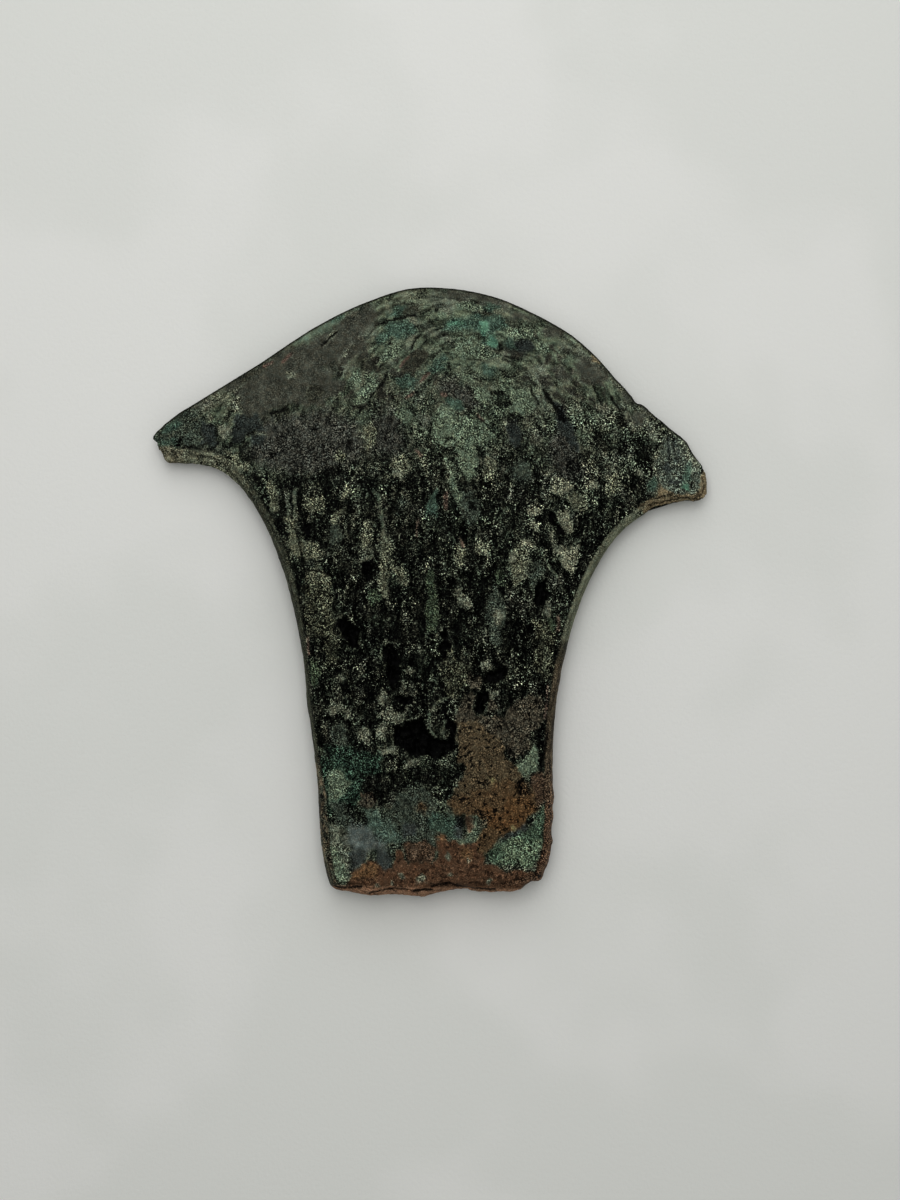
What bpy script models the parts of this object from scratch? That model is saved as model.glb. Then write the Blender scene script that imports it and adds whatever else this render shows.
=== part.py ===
"""Copper axe head, cast and hammered in one piece: a thick body with a rough butt, which flares
into a broad curved blade with two horns. It lies on its back on a small flat spot."""

import bmesh
import bpy
import numpy as np
from mathutils import Vector, noise

# Lengths are in metres. X runs across the blade, Y from the butt to the cutting edge and Z up from
# the surface that the head lies on. A name in UP is a height along Y above the lowest of the butt.
HEAD_LENGTH = 0.1216
HEAD_WIDTH = 0.1108
BODY_THICKNESS = 0.0108
EDGE_THICKNESS = 0.0010
EDGE_LIFT = 0.0026
BLADE_BEVEL = 0.046

# Butt, a rough break between two worn corners
BUTT_LEFT = 0.0199
BUTT_RIGHT = 0.0219
BUTT_LEFT_UP = 0.0020
BUTT_RIGHT_UP = 0.0031
BUTT_RAGGEDNESS = 0.0010

# Sides of the body, out to the neck where each flare starts
WAIST_LEFT = 0.0224
WAIST_RIGHT = 0.0247
NECK_LEFT = 0.0247
NECK_RIGHT = 0.0246
NECK_LEFT_UP = 0.0392
NECK_RIGHT_UP = 0.0272

# Horns: where the flare runs out, then the lower corner, the tip and the shoulder above it. A name
# in IN is a distance in from the widest place of its side
FLARE_LEFT_IN = 0.0092
FLARE_RIGHT_IN = 0.0092
FLARE_LEFT_UP = 0.0856
FLARE_RIGHT_UP = 0.0770
HORN_LEFT_IN = 0.0025
HORN_RIGHT_IN = 0.0011
HORN_LEFT_UP = 0.0864
HORN_RIGHT_UP = 0.0787
TIP_RIGHT_IN = 0.0020
TIP_LEFT_UP = 0.0914
TIP_RIGHT_UP = 0.0868
TIP_ROUNDING = 0.0030
SHOULDER_LEFT_IN = 0.0054
SHOULDER_LEFT_UP = 0.0963
SHOULDER_BOW = 0.0006

# Cutting edge: its crown, and a small nick above the right horn
CROWN_ACROSS = -0.0004
NICK_RIGHT_IN = 0.0150
NICK_UP = 0.0996
NICK_WIDTH = 0.0012
NICK_DEPTH = 0.0015

# Bevelled border round both faces, wider under the left horn and torn along the butt
SIDE_BEVEL = 0.0019
HORN_BEVEL = 0.0027
BUTT_BEVEL = 0.0021
EDGE_BEVEL = 0.0007
BEVEL_WAVER = 0.25
BUTT_TEAR = 0.6

# Fall of both faces towards the border
FACE_CROWN = 0.0013
FACE_CROWN_WIDTH = 0.020

# Hammered grain: furrows that rise up the body and turn outwards along the blade, and dents
FURROW_PITCH = 0.0042
FURROW_LENGTH = 0.026
FURROW_DEPTH = 0.0009
GRAIN_TURN = 0.030
DENT_SIZE = 0.009
UNDER_SHARE = 0.6
DENT_DEPTH = 0.0005

# Flat places: the spot that the head lies on, and the seat that the cheek of a haft grips
REST_DEPTH = 0.0007
SEAT_WIDTH = 0.016
SEAT_LENGTH = 0.014
SEAT_UP = 0.022
SEAT_DEPTH = 0.0007
SEAT_FADE = 0.006

# Handles of the free curves: two heights up the body as shares of the rise to the neck or the horn,
# then pairs of shares of a stretch's run and rise, and of the rounding and the rise at the right tip
BODY_RIGHT_HANDLES = (0.2, 0.6)
BODY_LEFT_HANDLES = (0.35, 0.66)
FLARE_RIGHT_HANDLES = (0.38, 0.94)
FLARE_LEFT_HANDLES = (0.26, 1.0)
FLARE_RUN_HANDLE = 0.333
RIGHT_ARC_HANDLES = ((0.208, 0.49), (0.574, 1.0))
LEFT_ARC_HANDLES = ((0.26, 0.0), (0.48, 0.34))
TIP_HANDLES = ((0.6, 0.4), (0.7, -1.0))
WORN_HANDLES = ((-0.1, 0.25), (0.5, -0.4))

# The butt's sag, and the layer of noise that each rough stretch reads
SAG_LEAN = 0.66
SAG_FULLNESS = 0.8
RAGGED_STEPS = 11
RAGGED_LAYER = 3.1
TORN_LAYER = 2.6
BREAK_LAYER = 7.9
BEVEL_LAYER = 5.3
UPPER_LAYER = 1.7
UNDER_LAYER = 8.2

# Mesh steps along the stretches of a side from the butt up, and of the cutting edge from the right
SIDE_STEPS = (11, 21, 5, 5)
EDGE_STEPS = (6, 2, 17, 18, 3)
EVENING_PASSES = 80
BORDER_SHARES = (0.0, 0.3, 1.0)
BORDER_HEIGHT = 0.62
WAVER_LENGTH = 0.005
EDGE_FULLNESS = 1.6
SHARP_FROM = np.radians(35)


def bezier(start, lead, trail, end, steps):
    """Points along a cubic curve, without its end, so that stretches can be chained."""
    t = np.arange(steps)[:, None] / steps
    shares = ((1 - t) ** 3, 3 * t * (1 - t) ** 2, 3 * t**2 * (1 - t), t**3)
    return sum(share * np.array(point) for share, point in zip(shares, (start, lead, trail, end)))


def straight(start, end, steps):
    """Points along a straight line, without its end."""
    start, end = np.array(start), np.array(end)
    return start + (end - start) * np.arange(steps)[:, None] / steps


def arc(start, end, handles, steps):
    """A cubic curve whose handles are shares of its own run and rise."""
    start, end = np.array(start), np.array(end)
    lead, trail = (start + (end - start) * share for share in handles)
    return bezier(start, lead, trail, end, steps)


def body_side(butt, neck, waist, handles, steps):
    """One side of the body, which bows out to the waist between two heights."""
    low, high = ((waist, butt[1] + share * (neck[1] - butt[1])) for share in handles)
    return bezier(butt, low, high, neck, steps)


def flare(neck, root, handles, steps):
    """The sweep from the neck, which it leaves along Y, out to the root of the horn."""
    return arc(neck, root, ((0.0, handles[0]), (FLARE_RUN_HANDLE, handles[1])), steps)


def backwards(points, end):
    """The same stretch from its end to its start, again without its last point."""
    return np.vstack([[end], points[:0:-1]])


def butt_line(start, end, steps):
    """The broken end, left to right: a ragged line that sags between its two corners."""
    points = straight(start, end, steps)
    share = np.arange(steps) / steps
    sag = np.sin(np.pi * share**SAG_LEAN) ** SAG_FULLNESS
    rough = np.array([noise.noise(Vector((RAGGED_STEPS * s, RAGGED_LAYER, 0.4))) for s in share])
    points[:, 1] = points[:, 1] * (1 - sag) + BUTT_RAGGEDNESS * sag * rough
    points[:, 1] -= points[:, 1].min()
    return points


def right_side(butt, tip):
    """From the right corner of the butt up the flare and round the worn right horn."""
    body, sweep, under, end = SIDE_STEPS
    neck = (NECK_RIGHT, NECK_RIGHT_UP)
    root = (HEAD_WIDTH / 2 - FLARE_RIGHT_IN, FLARE_RIGHT_UP)
    horn = (HEAD_WIDTH / 2 - HORN_RIGHT_IN, HORN_RIGHT_UP)
    lead = np.array(horn) + TIP_ROUNDING * np.array(TIP_HANDLES[0])
    trail = np.array(tip) + TIP_ROUNDING * np.array(TIP_HANDLES[1])
    return np.vstack([
        body_side(butt, neck, WAIST_RIGHT, BODY_RIGHT_HANDLES, body - 2),
        flare(neck, root, FLARE_RIGHT_HANDLES, sweep + 2),
        straight(root, horn, under),
        bezier(horn, lead, trail, tip, end),
    ])


def left_side(tip, butt):
    """From the tip of the left horn down its broken end, along the flare and down the body."""
    body, sweep, under, end = SIDE_STEPS
    neck = (-NECK_LEFT, NECK_LEFT_UP)
    root = (FLARE_LEFT_IN - HEAD_WIDTH / 2, FLARE_LEFT_UP)
    horn = (HORN_LEFT_IN - HEAD_WIDTH / 2, HORN_LEFT_UP)
    return np.vstack([
        straight(tip, horn, end),
        straight(horn, root, under),
        backwards(flare(neck, root, FLARE_LEFT_HANDLES, sweep), root),
        backwards(body_side(butt, neck, -WAIST_LEFT, BODY_LEFT_HANDLES, body), neck),
    ])


def cutting_edge(tip_right, tip_left):
    """From the right horn over the nick and the crown to the left horn."""
    worn, gap, right_arc, left_arc, end = EDGE_STEPS
    crown = (CROWN_ACROSS, HEAD_LENGTH)
    nick = (HEAD_WIDTH / 2 - NICK_RIGHT_IN, NICK_UP)
    foot = (nick[0] + NICK_WIDTH, NICK_UP - NICK_DEPTH)
    shoulder = (SHOULDER_LEFT_IN - HEAD_WIDTH / 2, SHOULDER_LEFT_UP)
    drop = foot[1] - tip_right[1]
    lead = np.array(tip_right) + drop * np.array(WORN_HANDLES[0])
    trail = np.array(foot) + drop * np.array(WORN_HANDLES[1])
    bow = (np.array(shoulder) + np.array(tip_left)) / 2 + (-SHOULDER_BOW, SHOULDER_BOW)
    return np.vstack([
        bezier(tip_right, lead, trail, foot, worn),
        straight(foot, nick, gap),
        arc(nick, crown, RIGHT_ARC_HANDLES, right_arc),
        arc(crown, shoulder, LEFT_ARC_HANDLES, left_arc),
        bezier(shoulder, bow, bow, tip_left, end),
    ])


def outline():
    """The butt, the right side, the cutting edge and the left side, anticlockwise in plan."""
    butt_left = (-BUTT_LEFT, BUTT_LEFT_UP)
    butt_right = (BUTT_RIGHT, BUTT_RIGHT_UP)
    tip_left = (-HEAD_WIDTH / 2, TIP_LEFT_UP)
    tip_right = (HEAD_WIDTH / 2 - TIP_RIGHT_IN, TIP_RIGHT_UP)
    return (
        butt_line(butt_left, butt_right, sum(EDGE_STEPS)),
        right_side(butt_right, tip_right),
        cutting_edge(tip_right, tip_left),
        left_side(tip_left, butt_left),
    )


def smoothed(values, passes):
    """Each value of a closed loop averaged with its neighbours, a few times over."""
    for _ in range(passes):
        values = (np.roll(values, 1, 0) + 2 * values + np.roll(values, -1, 0)) / 4
    return values


def waver(points, layer):
    """A slow wobble between about -1 and 1 along a line of points."""
    spots = points / WAVER_LENGTH
    return np.array([noise.noise(Vector((x, y, layer))) for x, y in spots])


def bevel_widths(stretches):
    """Width of the bevel at each step of the outline."""
    butt, right, edge, left = stretches
    horn = sum(SIDE_STEPS[2:])
    torn = BUTT_BEVEL * (1 + BUTT_TEAR * waver(butt, TORN_LAYER))
    width = np.concatenate([
        torn,
        np.full(len(right), SIDE_BEVEL),
        np.full(len(edge), EDGE_BEVEL),
        np.full(horn, HORN_BEVEL),
        np.full(len(left) - horn, SIDE_BEVEL),
    ])
    return smoothed(width, 1) * (1 + BEVEL_WAVER * waver(np.vstack(stretches), BEVEL_LAYER))


def border_rings(stretches):
    """Closed loops from the outline in to the arris where the bevel meets the faces."""
    loop = np.vstack(stretches)
    along = np.roll(loop, -1, 0) - np.roll(loop, 1, 0)
    inward = np.column_stack([-along[:, 1], along[:, 0]])
    inward = smoothed(inward / np.linalg.norm(inward, axis=1, keepdims=True), 2)
    width = bevel_widths(stretches)[:, None]
    return [loop + inward * width * share for share in BORDER_SHARES]


def blanket(loop, rows, columns):
    """Points spread evenly inside a loop of four sides, as [row, column] from the left of the butt."""
    corners = np.cumsum([columns, rows, columns])
    butt, right, edge, left = np.split(loop, corners)
    butt = np.vstack([butt, right[:1]])
    right = np.vstack([right, edge[:1]])
    edge = np.vstack([edge, left[:1]])[::-1]
    left = np.vstack([left, loop[:1]])[::-1]
    u = np.linspace(0, 1, columns + 1)[None, :, None]
    v = np.linspace(0, 1, rows + 1)[:, None, None]
    lengthwise = (1 - v) * butt[None] + v * edge[None]
    crosswise = (1 - u) * left[:, None] + u * right[:, None]
    lower = (1 - u) * butt[0] + u * butt[-1]
    higher = (1 - u) * edge[0] + u * edge[-1]
    points = lengthwise + crosswise - (1 - v) * lower - v * higher
    for _ in range(EVENING_PASSES):
        beside = points[1:-1, :-2] + points[1:-1, 2:]
        beyond = points[:-2, 1:-1] + points[2:, 1:-1]
        points[1:-1, 1:-1] = (beside + beyond) / 4
    return points


def distance(points, line):
    """How far each point is from a line of straight pieces."""
    start = line[:-1]
    step = line[1:] - start
    offset = points[:, None] - start
    share = np.clip((offset * step).sum(-1) / (step**2).sum(-1), 0, 1)
    return np.linalg.norm(offset - share[..., None] * step, axis=-1).min(1)


def relief(points, to_edge, layer):
    """Depth of the furrows along the grain and of the rounder dents between them."""
    turn = to_edge / GRAIN_TURN
    offset = points[:, 0] - CROWN_ACROSS
    across = offset * np.tanh(turn)
    along = offset**2 / (2 * GRAIN_TURN * np.cosh(turn) ** 2) - GRAIN_TURN * np.log(np.cosh(turn))
    furrows = [noise.noise(Vector((a / FURROW_PITCH, b / FURROW_LENGTH, layer)))
               for a, b in zip(across, along)]
    dents = [noise.noise(Vector((x / DENT_SIZE, y / DENT_SIZE, layer + 0.5))) for x, y in points]
    return FURROW_DEPTH * (1 + np.array(furrows)) / 2 + DENT_DEPTH * (1 + np.array(dents)) / 2


def seat_share(points):
    """1 on the flat seat of the haft, falling to 0 round it."""
    beyond_x = np.abs(points[:, 0]) - SEAT_WIDTH / 2
    beyond_y = np.abs(points[:, 1] - SEAT_UP) - SEAT_LENGTH / 2
    beyond = np.clip(np.maximum(beyond_x, beyond_y) / SEAT_FADE, 0, 1)
    return 1 - beyond**2 * (3 - 2 * beyond)


def face_heights(points, edge, loop):
    """Heights of the upper and the under face at points in plan."""
    to_edge = distance(points, edge)
    to_rim = distance(points, loop)
    swell = 1 - (1 - np.clip(to_edge / BLADE_BEVEL, 0, 1)) ** EDGE_FULLNESS
    upper = EDGE_LIFT + EDGE_THICKNESS
    upper = upper + (BODY_THICKNESS - upper) * swell
    under = EDGE_LIFT * (1 - swell)
    thin = (upper - under) / BODY_THICKNESS
    fall = FACE_CROWN * thin * (1 - np.clip(to_rim / FACE_CROWN_WIDTH, 0, 1)) ** 2
    upper = upper - fall - thin * relief(points, to_edge, UPPER_LAYER)
    under = under + fall + UNDER_SHARE * thin * relief(points, to_edge, UNDER_LAYER) - REST_DEPTH * swell
    flat = seat_share(points)
    upper = upper * (1 - flat) + (BODY_THICKNESS - SEAT_DEPTH) * flat
    return upper, np.maximum(under, 0)


def patina():
    """Dark green to black copper patina."""
    material = bpy.data.materials.new("patinated_copper")
    material.use_nodes = True
    shader = material.node_tree.nodes["Principled BSDF"]
    shader.inputs["Base Color"].default_value = (0.045, 0.055, 0.042, 1)
    shader.inputs["Roughness"].default_value = 0.5
    shader.inputs["Metallic"].default_value = 0.25
    return material


def rim_steps(rows, columns):
    """Places of the points round a grid in its list of points, in the order of the outline."""
    places = np.arange((rows + 1) * (columns + 1)).reshape(rows + 1, columns + 1)
    return np.concatenate([places[0, :-1], places[:-1, -1], places[-1, :0:-1], places[:0:-1, 0]])


def raised(shape, points, heights):
    """Corners of the mesh over points in plan, with Y counted from the middle of the length."""
    return [shape.verts.new((x, y - HEAD_LENGTH / 2, z)) for (x, y), z in zip(points, heights)]


def cover(shape, corners, columns, outward):
    """Four-sided faces over a grid of corners."""
    for first in range(len(corners) - columns - 1):
        if first % (columns + 1) < columns:
            around = (first, first + 1, first + columns + 2, first + columns + 1)
            shape.faces.new([corners[place] for place in around][::outward])


def band(shape, outer, inner, outward):
    """Four-sided faces between two closed loops of corners."""
    for i in range(len(outer)):
        j = (i + 1) % len(outer)
        shape.faces.new((outer[i], outer[j], inner[j], inner[i])[::outward])


def axe_head():
    """The head as one closed mesh: two faces on the same plan, joined by their bevelled border."""
    stretches = outline()
    outermost, shoulder, arris = border_rings(stretches)
    rows, columns = sum(SIDE_STEPS), sum(EDGE_STEPS)
    grid = blanket(arris, rows, columns).reshape(-1, 2)
    edge = np.vstack([stretches[2], stretches[3][:1]])
    upper, under = face_heights(grid, edge, np.vstack([outermost, outermost[:1]]))
    rim = rim_steps(rows, columns)
    middle = (upper[rim] + under[rim]) / 2
    broken = rim[:columns]
    middle[:columns] += (upper - under)[broken] / 2 * waver(stretches[0], BREAK_LAYER)
    shape = bmesh.new()
    waterline = raised(shape, outermost, middle)
    for heights, outward in ((upper, 1), (under, -1)):
        face = raised(shape, grid, heights)
        cover(shape, face, columns, outward)
        lip = raised(shape, shoulder, middle + (heights[rim] - middle) * BORDER_HEIGHT)
        band(shape, waterline, lip, outward)
        band(shape, lip, [face[place] for place in rim], outward)

    mesh = bpy.data.meshes.new("axe_head")
    shape.to_mesh(mesh)
    shape.free()
    mesh.shade_smooth()
    mesh.set_sharp_from_angle(angle=SHARP_FROM)
    mesh.materials.append(patina())
    head = bpy.data.objects.new("axe_head", mesh)
    bpy.context.collection.objects.link(head)
    return head


for old in list(bpy.data.objects):
    bpy.data.objects.remove(old)
axe_head()
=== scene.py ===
# Looks of a cast copper axe head: hammered relief, worn sides, a broken butt and a crusted patina.
import math

import bmesh
import bpy
import numpy as np
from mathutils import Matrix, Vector, kdtree, noise


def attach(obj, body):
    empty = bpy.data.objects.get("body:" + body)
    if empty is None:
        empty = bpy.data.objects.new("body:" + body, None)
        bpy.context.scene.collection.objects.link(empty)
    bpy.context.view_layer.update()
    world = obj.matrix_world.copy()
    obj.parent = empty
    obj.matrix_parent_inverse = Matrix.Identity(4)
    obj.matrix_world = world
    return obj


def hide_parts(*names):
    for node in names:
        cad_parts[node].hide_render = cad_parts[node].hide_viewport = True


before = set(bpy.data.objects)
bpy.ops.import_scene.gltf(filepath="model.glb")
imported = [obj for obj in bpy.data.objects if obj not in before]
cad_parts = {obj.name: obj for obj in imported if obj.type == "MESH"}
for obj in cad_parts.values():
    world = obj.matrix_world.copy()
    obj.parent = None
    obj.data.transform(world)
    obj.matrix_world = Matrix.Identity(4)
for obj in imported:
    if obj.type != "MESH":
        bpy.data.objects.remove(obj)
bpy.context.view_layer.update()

MM = 0.001

# Camera straight above the head, as a phone is held over a table
CAMERA_PLACE = (0.004, -0.0019, 0.40)
CAMERA_LENS = 59.7
CAMERA_SENSOR = 36

# Tips of the two horns, in metres from the middle of the head; the cutting edge is the outline
# beyond the line between them, and a little before it
TIP_RIGHT = (0.0534, 0.0260)
TIP_LEFT = (-0.0554, 0.0306)
TIP_MARGIN = 0.0001

# Directions in which the hammer strokes and the grain lie: place in millimetres and degrees;
# between these places they blend over some millimetres
STROKES = (
    (-48, 33, 28), (-41, 37, 60), (-36, 37, 78), (-28, 39, 72), (-20, 50, 57), (-17, 47, 52),
    (-12, 51, 46), (-15, 42, 66), (-11, 38, 58), (-3, 48, 56), (-7, 52, 32), (0, 53, 18),
    (-3, 57, 10), (6, 57, 2), (12, 57, -15), (18, 53, -20), (8, 48, -5), (15, 46, -10),
    (22, 50, -35), (27, 46, -48), (24, 36, -60), (20, 40, -50), (36, 38, -60), (32, 43, -50),
    (44, 33, -75), (48, 28, -88), (36, 26, 90), (6, 38, -40), (12, 32, -50), (0, 30, 90),
    (-15, 27, 86), (-28, 28, 84), (15, 22, -80), (29, 13, 70), (25, 0, 86), (-28, 17, 88),
    (-34, 21, -55), (-26, 0, -84), (0, 12, 90), (0, -10, 90), (0, -30, 90), (0, -50, 90),
)
STROKE_BLEND = 3

# In how many ways grain is drawn out before these ways are mixed, how far apart their layers of
# noise lie, and the least share of a way that is worked out
STROKE_WAYS = 8
WAY_STEP = 5.3
LEAST_SHARE = 0.02

# Marks drawn out along the strokes: width and length in millimetres, layer of the noise, its
# octaves and the share of each octave in the one before
MARKS = {
    "furrow": (0.8, 4.6, 3.1, 3, 0.68), "hollow": (1.9, 6.5, 103.7, 2, 0.5),
    "streak": (0.8, 2.6, 709.3, 2, 0.5), "scale": (1.0, 3.4, 209.3, 2, 0.5),
    # In the next row, the second mark makes pale streaks on the blade, painted highlights
    "groove": (0.55, 3.2, 309.3, 1, 0.5), "gleam": (0.45, 2.0, 509.3, 1, 0.5),
    "vein": (2.0, 4.5, 409.3, 2, 0.5), "flake": (1.4, 2.8, 609.3, 2, 0.5),
}

# Clouds and crumbs: size in millimetres, or two sizes across and along, layer of the noise and
# its octaves
CLOUDS = {
    "blotch": (2.6, 12.9, 2), "crumb": (1.1, 16.4, 2), "cloud": (9.0, 23.0, 2),
    "mottle": (1.7, 29.0, 2), "grit": (3.2, 71.0, 2), "vein stretch": (3.6, 57.0, 1),
    "film": (5.0, 33.0, 2), "underside": ((2.2, 8.0), 51.0, 2), "line": ((5.0, 0.55), 44.0, 2),
    "bit": ((1.5, 0.6), 47.0, 2), "wisp": ((2.6, 0.8), 63.0, 2), "torn": ((3.4, 1.1), 61.0, 3),
}

# Speckles of the materials: number to a millimetre, or to a metre on the paper, detail,
# roughness, warp and shift of the noise
SPECKLES = {
    "crystals": (2.0, 1, 0.6, 1.3, (0, 0, 0)), "sparks": (3.3, 1, 0.6, 0, (7, 1, 4)),
    "crumbs": (0.9, 2, 0.6, 1.0, (0, 0, 0)), "zones": (0.3, 2, 0.6, 0, (0, 0, 0)),
    "finest": (4.0, 1, 0.5, 0, (0, 0, 0)), "holes": (1.2, 2, 0.6, 0, (3, 8, 5)),
    "dots": (1.9, 1, 0.55, 0, (9, 2, 7)), "shades": (1.2, 2, 0.6, 0, (5, 3, 2)),
    "paper clouds": (14, 3, 0.5, 0, (0, 0, 0)), "paper fibre": (1200, 3, 0.6, 0, (0, 0, 0)),
}
# Part of the noise that is spread from 0 to 1 in them
NOISE_RANGE = (0.33, 0.67)

# Pale threads and dark cracks that wind through the crust: stretch and shift, number to a
# millimetre and width as a share of the noise
PALE_THREADS = ((1.5, 0.8, 1.2), (0, 0, 0), 0.9, 0.075)
DARK_THREADS = ((1.3, 0.7, 1.2), (4, 9, 6), 1.1, 0.060)

# Spacing of the fine skin in metres, triangles left when its underside is thinned out, and how
# sharp the silhouette and its corners are kept
SKIN_STEP = 0.000333
TRIANGLE_LIMIT = 185000
SILHOUETTE_CREASE = 0.8
CORNER_TURN = math.radians(22)

# Upward share of the normal over which a face comes to count as turned up, or down, and over
# which it stops counting as a side, and from which it is thinned out beneath
FACING = (0.05, 0.45)
STEEP = (0.55, 0.9)
BENEATH = -0.6

# How far in from the cutting edge the blade gives way to the body, in millimetres
BLADE_REACH = (10, 28)

# Contrast in brightness of the crust and the metal
RIDGE_CONTRAST = 0.21
SCALE_CONTRAST = 0.185
GROOVE_CONTRAST = 0.14
# Painted highlights along the strokes of the blade
PAINTED_GLEAM_CONTRAST = 0.14
CRUST_MOTTLE = 0.26
METAL_MOTTLE = 0.10

# Relief in millimetres
CRUST_DEPTH = 0.08
FURROW_DEPTH = 0.50
GROOVE_DEPTH = 0.10
SCALE_DEPTH = 0.10
CRUMB_DEPTH = 0.09
VEIN_HEIGHT = 0.08
JET_DEPTH = 0.40
JET_RIM_HEIGHT = 0.10
SHADE_DEPTH = 0.14
CRACK_DEPTH = 0.16
SCRATCH_HEIGHT = 0.10
SIDE_LINE_DEPTH = 0.12
SIDE_BIT_DEPTH = 0.06
TORN_DEPTH = 0.25
TORN_SWING = 0.45
UNDER_DEPTH = 0.12

# Height in millimetres up to which the underside rests on the floor and stays as it is
RESTING = 0.08

# Hues of luminance 1: crust, pale grains and painted glints, gaps, flecks, strips of the sides and torn
# butt
KHAKI = (0.955, 1.045, 0.70)
GREEN = (0.80, 1.10, 0.70)
FILM = (0.94, 1.035, 0.80)
# Hue of the brightest fine specks, partly pale grains and partly painted glints
PALE_GRAIN_AND_PAINTED_GLINT = (0.98, 1.01, 0.88)
DEPTH = (0.78, 1.12, 0.74)
GAP_BROWN = (1.0, 1.02, 0.76)
FLECK_RED = (1.50, 0.86, 0.66)
SIDE_KHAKI = (0.95, 1.04, 0.70)
SIDE_BROWN = (1.22, 0.97, 0.60)
SIDE_RUST = (1.52, 0.89, 0.52)
TORN_COPPER = (1.55, 0.88, 0.52)

# Tints between which the fine grain varies
WARM_SHADE = (1.05, 0.985, 0.94)
COOL_SHADE = (0.95, 1.01, 1.04)

# Finishes: hue of luminance 1, brightness as seen, share of that brightness that it sets, strength
# of its fine grain and softness of its outline in millimetres
OLIVE_SKIN = ((0.98, 1.03, 0.77), 0.245, 0.92, 0.08, 0.8)
BROWN_SKIN = ((0.98, 1.03, 0.72), 0.19, 0.95, 0.10, 0.25)
EDGE_GREEN = ((0.80, 1.09, 0.76), 0.40, 0.9, 0.10, 0.6)
GREY_FILM = ((0.98, 1.03, 0.82), 0.215, 0.5, 0.28, 1.8)
KHAKI_CRUST = ((0.96, 1.05, 0.67), 0.36, 0.75, 0.55, 0.4)
DULL_KHAKI = ((0.96, 1.05, 0.64), 0.195, 0.6, 0.60, 0.5)
PALE_FILM = ((0.97, 1.03, 0.76), 0.32, 0.8, 0.20, 0.6)
PALE_CRUST = ((0.95, 1.04, 0.72), 0.39, 0.9, 0.45, 0.25)
BRIGHT_CRUST = ((0.97, 1.04, 0.70), 0.48, 0.95, 0.60, 0.25)
PALE_GREEN = ((0.82, 1.09, 0.71), 0.405, 0.75, 0.41, 0.4)
LEAF_GREEN = ((0.77, 1.10, 0.63), 0.235, 0.9, 0.36, 0.2)
DULL_GREEN = ((0.83, 1.07, 0.77), 0.225, 0.8, 0.28, 0.5)
LOW_TEAL = ((0.58, 1.16, 0.76), 0.16, 0.8, 0.42, 0.5)
DULL_TEAL = ((0.66, 1.12, 0.80), 0.27, 0.8, 0.22, 0.5)
BLUE_TEAL = ((0.66, 1.12, 0.80), 0.30, 0.8, 0.20, 0.5)
# Painted sheen: a soft lighter patch that stands in for a reflection, over a teal film
TEAL_AND_PAINTED_SHEEN = ((0.70, 1.11, 0.84), 0.345, 0.7, 0.22, 1.2)
BRIGHT_TEAL = ((0.52, 1.17, 0.77), 0.43, 0.8, 0.20, 0.4)
SLATE_FILM = ((0.84, 1.05, 0.92), 0.175, 0.85, 0.12, 0.4)
BLUE_GREY = ((0.86, 1.05, 0.94), 0.35, 0.8, 0.10, 1.2)
ASH_COPPER = ((1.12, 1.00, 0.68), 0.225, 0.95, 0.20, 0.2)
OLIVE_COPPER = ((1.28, 0.96, 0.53), 0.255, 0.97, 0.12, 0.2)
BROWN_COPPER = ((1.44, 0.92, 0.45), 0.245, 0.97, 0.08, 0.4)
WARM_COPPER = ((1.64, 0.88, 0.36), 0.25, 0.97, 0.06, 1.0)
BUTT_COPPER = ((1.62, 0.87, 0.48), 0.245, 0.97, 0.03, 0.2)
BROWN_EARTH = ((1.42, 0.92, 0.56), 0.22, 0.95, 0.22, 0.3)
DARK_SLATE = ((0.86, 1.04, 0.94), 0.23, 0.9, 0.10, 0.6)
HORN_FILM = ((0.87, 1.06, 0.79), 0.36, 0.75, 0.50, 0.5)
HORN_PALE = ((0.92, 1.05, 0.74), 0.43, 0.8, 0.50, 0.5)
OCHRE = ((1.15, 1.00, 0.45), 0.40, 0.9, 0.15, 0.3)
ORANGE_COPPER = ((1.58, 0.89, 0.41), 0.33, 0.97, 0.08, 0.6)
HORN_COPPER = ((1.22, 0.98, 0.56), 0.41, 0.95, 0.20, 0.25)
CRYSTALS = ((0.78, 1.11, 0.67), 0.415, 0.97, 0.47, 0.2)
CRYSTAL_BED = ((0.70, 1.13, 0.70), 0.31, 0.9, 0.32, 0.4)

# Response of the picture: gamma, darkest tone and the light that a white surface sends back
CONTRAST = 0.85
GAMMA = 2.2 * CONTRAST
DARKEST = 0.004
WHITE = 0.88

# Gloss, least and most roughness, share of the metal and fine relief in metres
GLOSS = 0.025
ROUGHNESS = (0.34, 0.75)
METAL_SHARE = 0.15
GRAIN_RELIEF = 0.0003

# Sheet of paper: size in metres, its two colours, roughness and fine relief in metres
FLOOR_SIZE = 3
PAPER_DULL = (0.78, 0.79, 0.76)
PAPER_PALE = (0.82, 0.825, 0.80)
PAPER_ROUGHNESS = 0.9
FIBRE_RELIEF = 0.0002

# Light from all round, from level to overhead, and lamps: place and size in metres, and power
SKY_GLOW = (1.40, 0.70)
SKY_COLOUR = (1.0, 1.0, 0.98)
SKY_STRENGTH = 0.42
LAMPS = {
    "window": ((0.03, 0.44, 0.38), (0.5, 0.4), 0.85),
    "ceiling": ((-0.03, 0.12, 0.56), (0.4, 0.4), 1.26),
}

# How far from an outline its depth is worked out, in millimetres
REACH = 3.0

# How far the outlines of the finishes wander, in millimetres, and over what length, with the
# first layer of its noise; furrows wander more and fine lines less, by these factors
WANDER = ((0.35, 2.6), (0.22, 0.9))
WANDER_LAYER = 70
TWIST = 1.5
LINE_TWIST = 0.4

# How softly ridges, cracks and flecks end beside them, in millimetres
LINE_SOFTNESS = 0.14

# Spacing in which a line is followed, in metres, and the rim in millimetres
LINE_STEP = 0.0002
RIM_STEP = 0.6

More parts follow.
